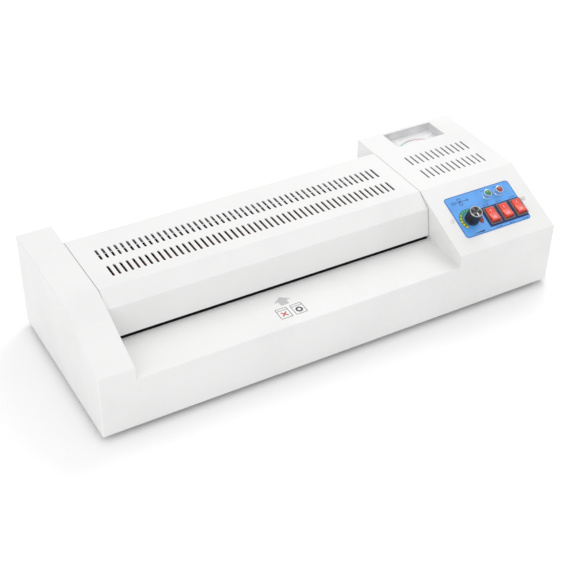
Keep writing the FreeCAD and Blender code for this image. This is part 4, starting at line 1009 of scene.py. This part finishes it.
class LAMINATOR_OT_rollers(bpy.types.Operator):
    """Finish the rollers, their bearings, springs and gears"""
    bl_idname = "laminator.rollers"
    bl_label = "Rollers and gears"

    def execute(self, context):
        colours = context.scene.laminator_colours
        repaint(silicone("hot_silicone", colours.hot_silicone), "upper_hot_sleeve", "lower_hot_sleeve")
        black = silicone("exit_silicone", (0.006, 0.006, 0.006), 0.15)
        repaint(black, "upper_exit_sleeve", "lower_exit_sleeve")
        repaint(turned_metal("turned_aluminium", (0.70, 0.71, 0.73)), "upper_hot_core", "lower_hot_core",
                "thermostat")
        steel = turned_metal("turned_steel", (0.52, 0.53, 0.55))
        repaint(steel, "upper_exit_core", "lower_exit_core", "tie_rods", "idler_pin", "motor_standoffs",
                "motor_pinion", "potentiometer_shaft")
        repaint(turned_metal("bush_bronze", (0.60, 0.40, 0.20), 0.38), "hot_bearing_blocks",
                "exit_bearing_blocks", "lower_bushes")
        for node, lift in (("hot_springs", "hot_lift"), ("exit_springs", "exit_lift")):
            self.springs(turned_metal("spring_wire", (0.30, 0.30, 0.32), 0.3), node, lift)
        nylon = moulding("gear_nylon", (0.74, 0.71, 0.60), roughness=0.45)
        repaint(nylon, "upper_hot_gear", "lower_hot_gear", "upper_exit_gear", "lower_exit_gear",
                "idler_gear", "drive_gear")
        repaint(clear_plastic("heater_quartz", (0.93, 0.91, 0.88), 0.12), "heater_tubes")
        return {"FINISHED"}

    def springs(self, finish, node, lift):
        """The pair of springs over a pair of bearing blocks."""
        low, high = (Vector(corner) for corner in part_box(node))
        radius = (high.y - low.y) / 2
        height = high.z - low.z
        pair = [moved(coil_spring(radius, SPRING_WIRE, height, SPRING_TURNS), x, low.y + radius, low.z)
                for x in (low.x + radius, high.x - radius)]
        coils = place_piece(node + "_wound", joined(pair), Matrix(), finish)
        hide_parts(node)
        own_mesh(coils)


class LAMINATOR_OT_electrics(bpy.types.Operator):
    """Finish the motor, transformer, board, potentiometer and mains inlet"""
    bl_idname = "laminator.electrics"
    bl_label = "Electrical pieces"

    def execute(self, context):
        enamel = moulding("motor_enamel", (0.16, 0.17, 0.19), roughness=0.4, grain=1200.0)
        repaint(enamel, "gear_motor", "transformer")
        resist = moulding("board_resist", (0.02, 0.14, 0.06), roughness=0.3, grain=3000.0, coat=0.3)
        repaint(resist, "control_board")
        repaint(sheet_zinc("pot_case_metal"), "potentiometer")
        black = moulding("inlet_plastic", (0.02, 0.02, 0.022), roughness=0.38)
        repaint(black, "power_inlet")
        repaint(bright_plate("inlet_pin_metal", (0.72, 0.62, 0.40)), "inlet_pins")

        low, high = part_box("power_inlet")
        centre = middle("power_inlet")
        depth = high.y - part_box("rear_panel")[1].y
        mouth, bore = (12.6 * MM, 8.6 * MM, 2.4 * MM), (12.0 * MM, 8.0 * MM, 2.0 * MM)
        rim = ring_plate(rectangle_loop((high.x - low.x) / 2, (high.z - low.z) / 2, 2.2 * MM, 0.0),
                         rectangle_loop(*mouth, 0.0), depth * 0.995)
        lip = ring_plate(rectangle_loop(*mouth, 0.0), rectangle_loop(*bore, 0.0), depth)
        place_piece("inlet_rim", joined([rim, lip]), facing_back(centre.x, high.y - depth, centre.z), black)
        return {"FINISHED"}


class LAMINATOR_OT_stage(bpy.types.Operator):
    """Set the floor, the camera and the soft lights"""
    bl_idname = "laminator.stage"
    bl_label = "Studio"

    def execute(self, context):
        scene = context.scene
        studio = scene.laminator_studio

        floor_mesh = bmesh.new()
        bmesh.ops.create_grid(floor_mesh, x_segments=2, y_segments=2, size=studio.floor_size / 2)
        data = bpy.data.meshes.new("floor")
        floor_mesh.to_mesh(data)
        floor_mesh.free()
        floor = bpy.data.objects.new("floor", data)
        scene.collection.objects.link(floor)
        paper = Finish("floor_paper", (0.97, 0.97, 0.97), roughness=0.9, specular_ior_level=0.1)
        data.materials.append(paper.material)
        self.camera(scene, studio)
        world = bpy.data.worlds.new("studio_sky")
        scene.world = world
        world.use_nodes = True
        background = world.node_tree.nodes["Background"]
        background.inputs["Color"].default_value = (1.0, 1.0, 1.0, 1.0)
        background.inputs["Strength"].default_value = studio.sky
        self.soft_light(scene, "key", (0.95, 0.75, 1.55), 1.1, studio.key)
        self.soft_light(scene, "fill", (-1.6, -1.0, 1.2), 1.6, studio.key * 0.9)
        scene.view_settings.view_transform = "Standard"
        return {"FINISHED"}

    def camera(self, scene, studio):
        place = Vector(studio.camera_place)
        back = (place - Vector(studio.camera_target)).normalized()
        right = Vector((0.0, 0.0, 1.0)).cross(back).normalized()
        up = back.cross(right)
        cosine, sine = math.cos(studio.camera_roll), math.sin(studio.camera_roll)
        axes = (right * cosine + up * sine, up * cosine - right * sine, back)
        data = bpy.data.cameras.new("camera")
        data.lens = studio.lens
        data.sensor_width = 36.0
        data.clip_end = 50.0
        camera = bpy.data.objects.new("camera", data)
        camera.matrix_world = Matrix.Translation(place) @ Matrix(axes).transposed().to_4x4()
        scene.collection.objects.link(camera)
        scene.camera = camera

    def soft_light(self, scene, name, place, size, power):
        data = bpy.data.lights.new(name, "AREA")
        data.shape = "DISK"
        data.size = size
        data.energy = power
        light = bpy.data.objects.new(name, data)
        light.location = place
        light.rotation_mode = "QUATERNION"
        light.rotation_quaternion = Vector(place).to_track_quat("Z", "Y")
        scene.collection.objects.link(light)


OPERATORS = (LAMINATOR_OT_case, LAMINATOR_OT_signs, LAMINATOR_OT_panel_film, LAMINATOR_OT_knob,
             LAMINATOR_OT_switches, LAMINATOR_OT_lamps, LAMINATOR_OT_meter, LAMINATOR_OT_fasteners,
             LAMINATOR_OT_rollers, LAMINATOR_OT_electrics, LAMINATOR_OT_stage)
GROUPS = {"laminator_sizes": LaminatorSizes, "laminator_colours": LaminatorColours,
          "laminator_studio": LaminatorStudio}


class LAMINATOR_PT_panel(bpy.types.Panel):
    """Lists the laminator's pieces, sizes and colours"""
    bl_idname = "LAMINATOR_PT_panel"
    bl_label = "Laminator"
    bl_space_type = "VIEW_3D"
    bl_region_type = "UI"
    bl_category = "Laminator"

    def draw(self, context):
        for operator in OPERATORS:
            self.layout.operator(operator.bl_idname)
        for group in GROUPS:
            values = getattr(context.scene, group)
            box = self.layout.box()
            for name in values.__annotations__:
                box.prop(values, name)


def register():
    for group in GROUPS.values():
        bpy.utils.register_class(group)
    for name, group in GROUPS.items():
        setattr(bpy.types.Scene, name, bpy.props.PointerProperty(type=group))
    for operator in OPERATORS:
        bpy.utils.register_class(operator)
    bpy.utils.register_class(LAMINATOR_PT_panel)


def unregister():
    bpy.utils.unregister_class(LAMINATOR_PT_panel)
    for operator in reversed(OPERATORS):
        bpy.utils.unregister_class(operator)
    for name, group in GROUPS.items():
        delattr(bpy.types.Scene, name)
        bpy.utils.unregister_class(group)


def main():
    register()
    for operator in OPERATORS:
        group, name = operator.bl_idname.split(".")
        getattr(getattr(bpy.ops, group), name)()


if __name__ == "__main__":
    main()
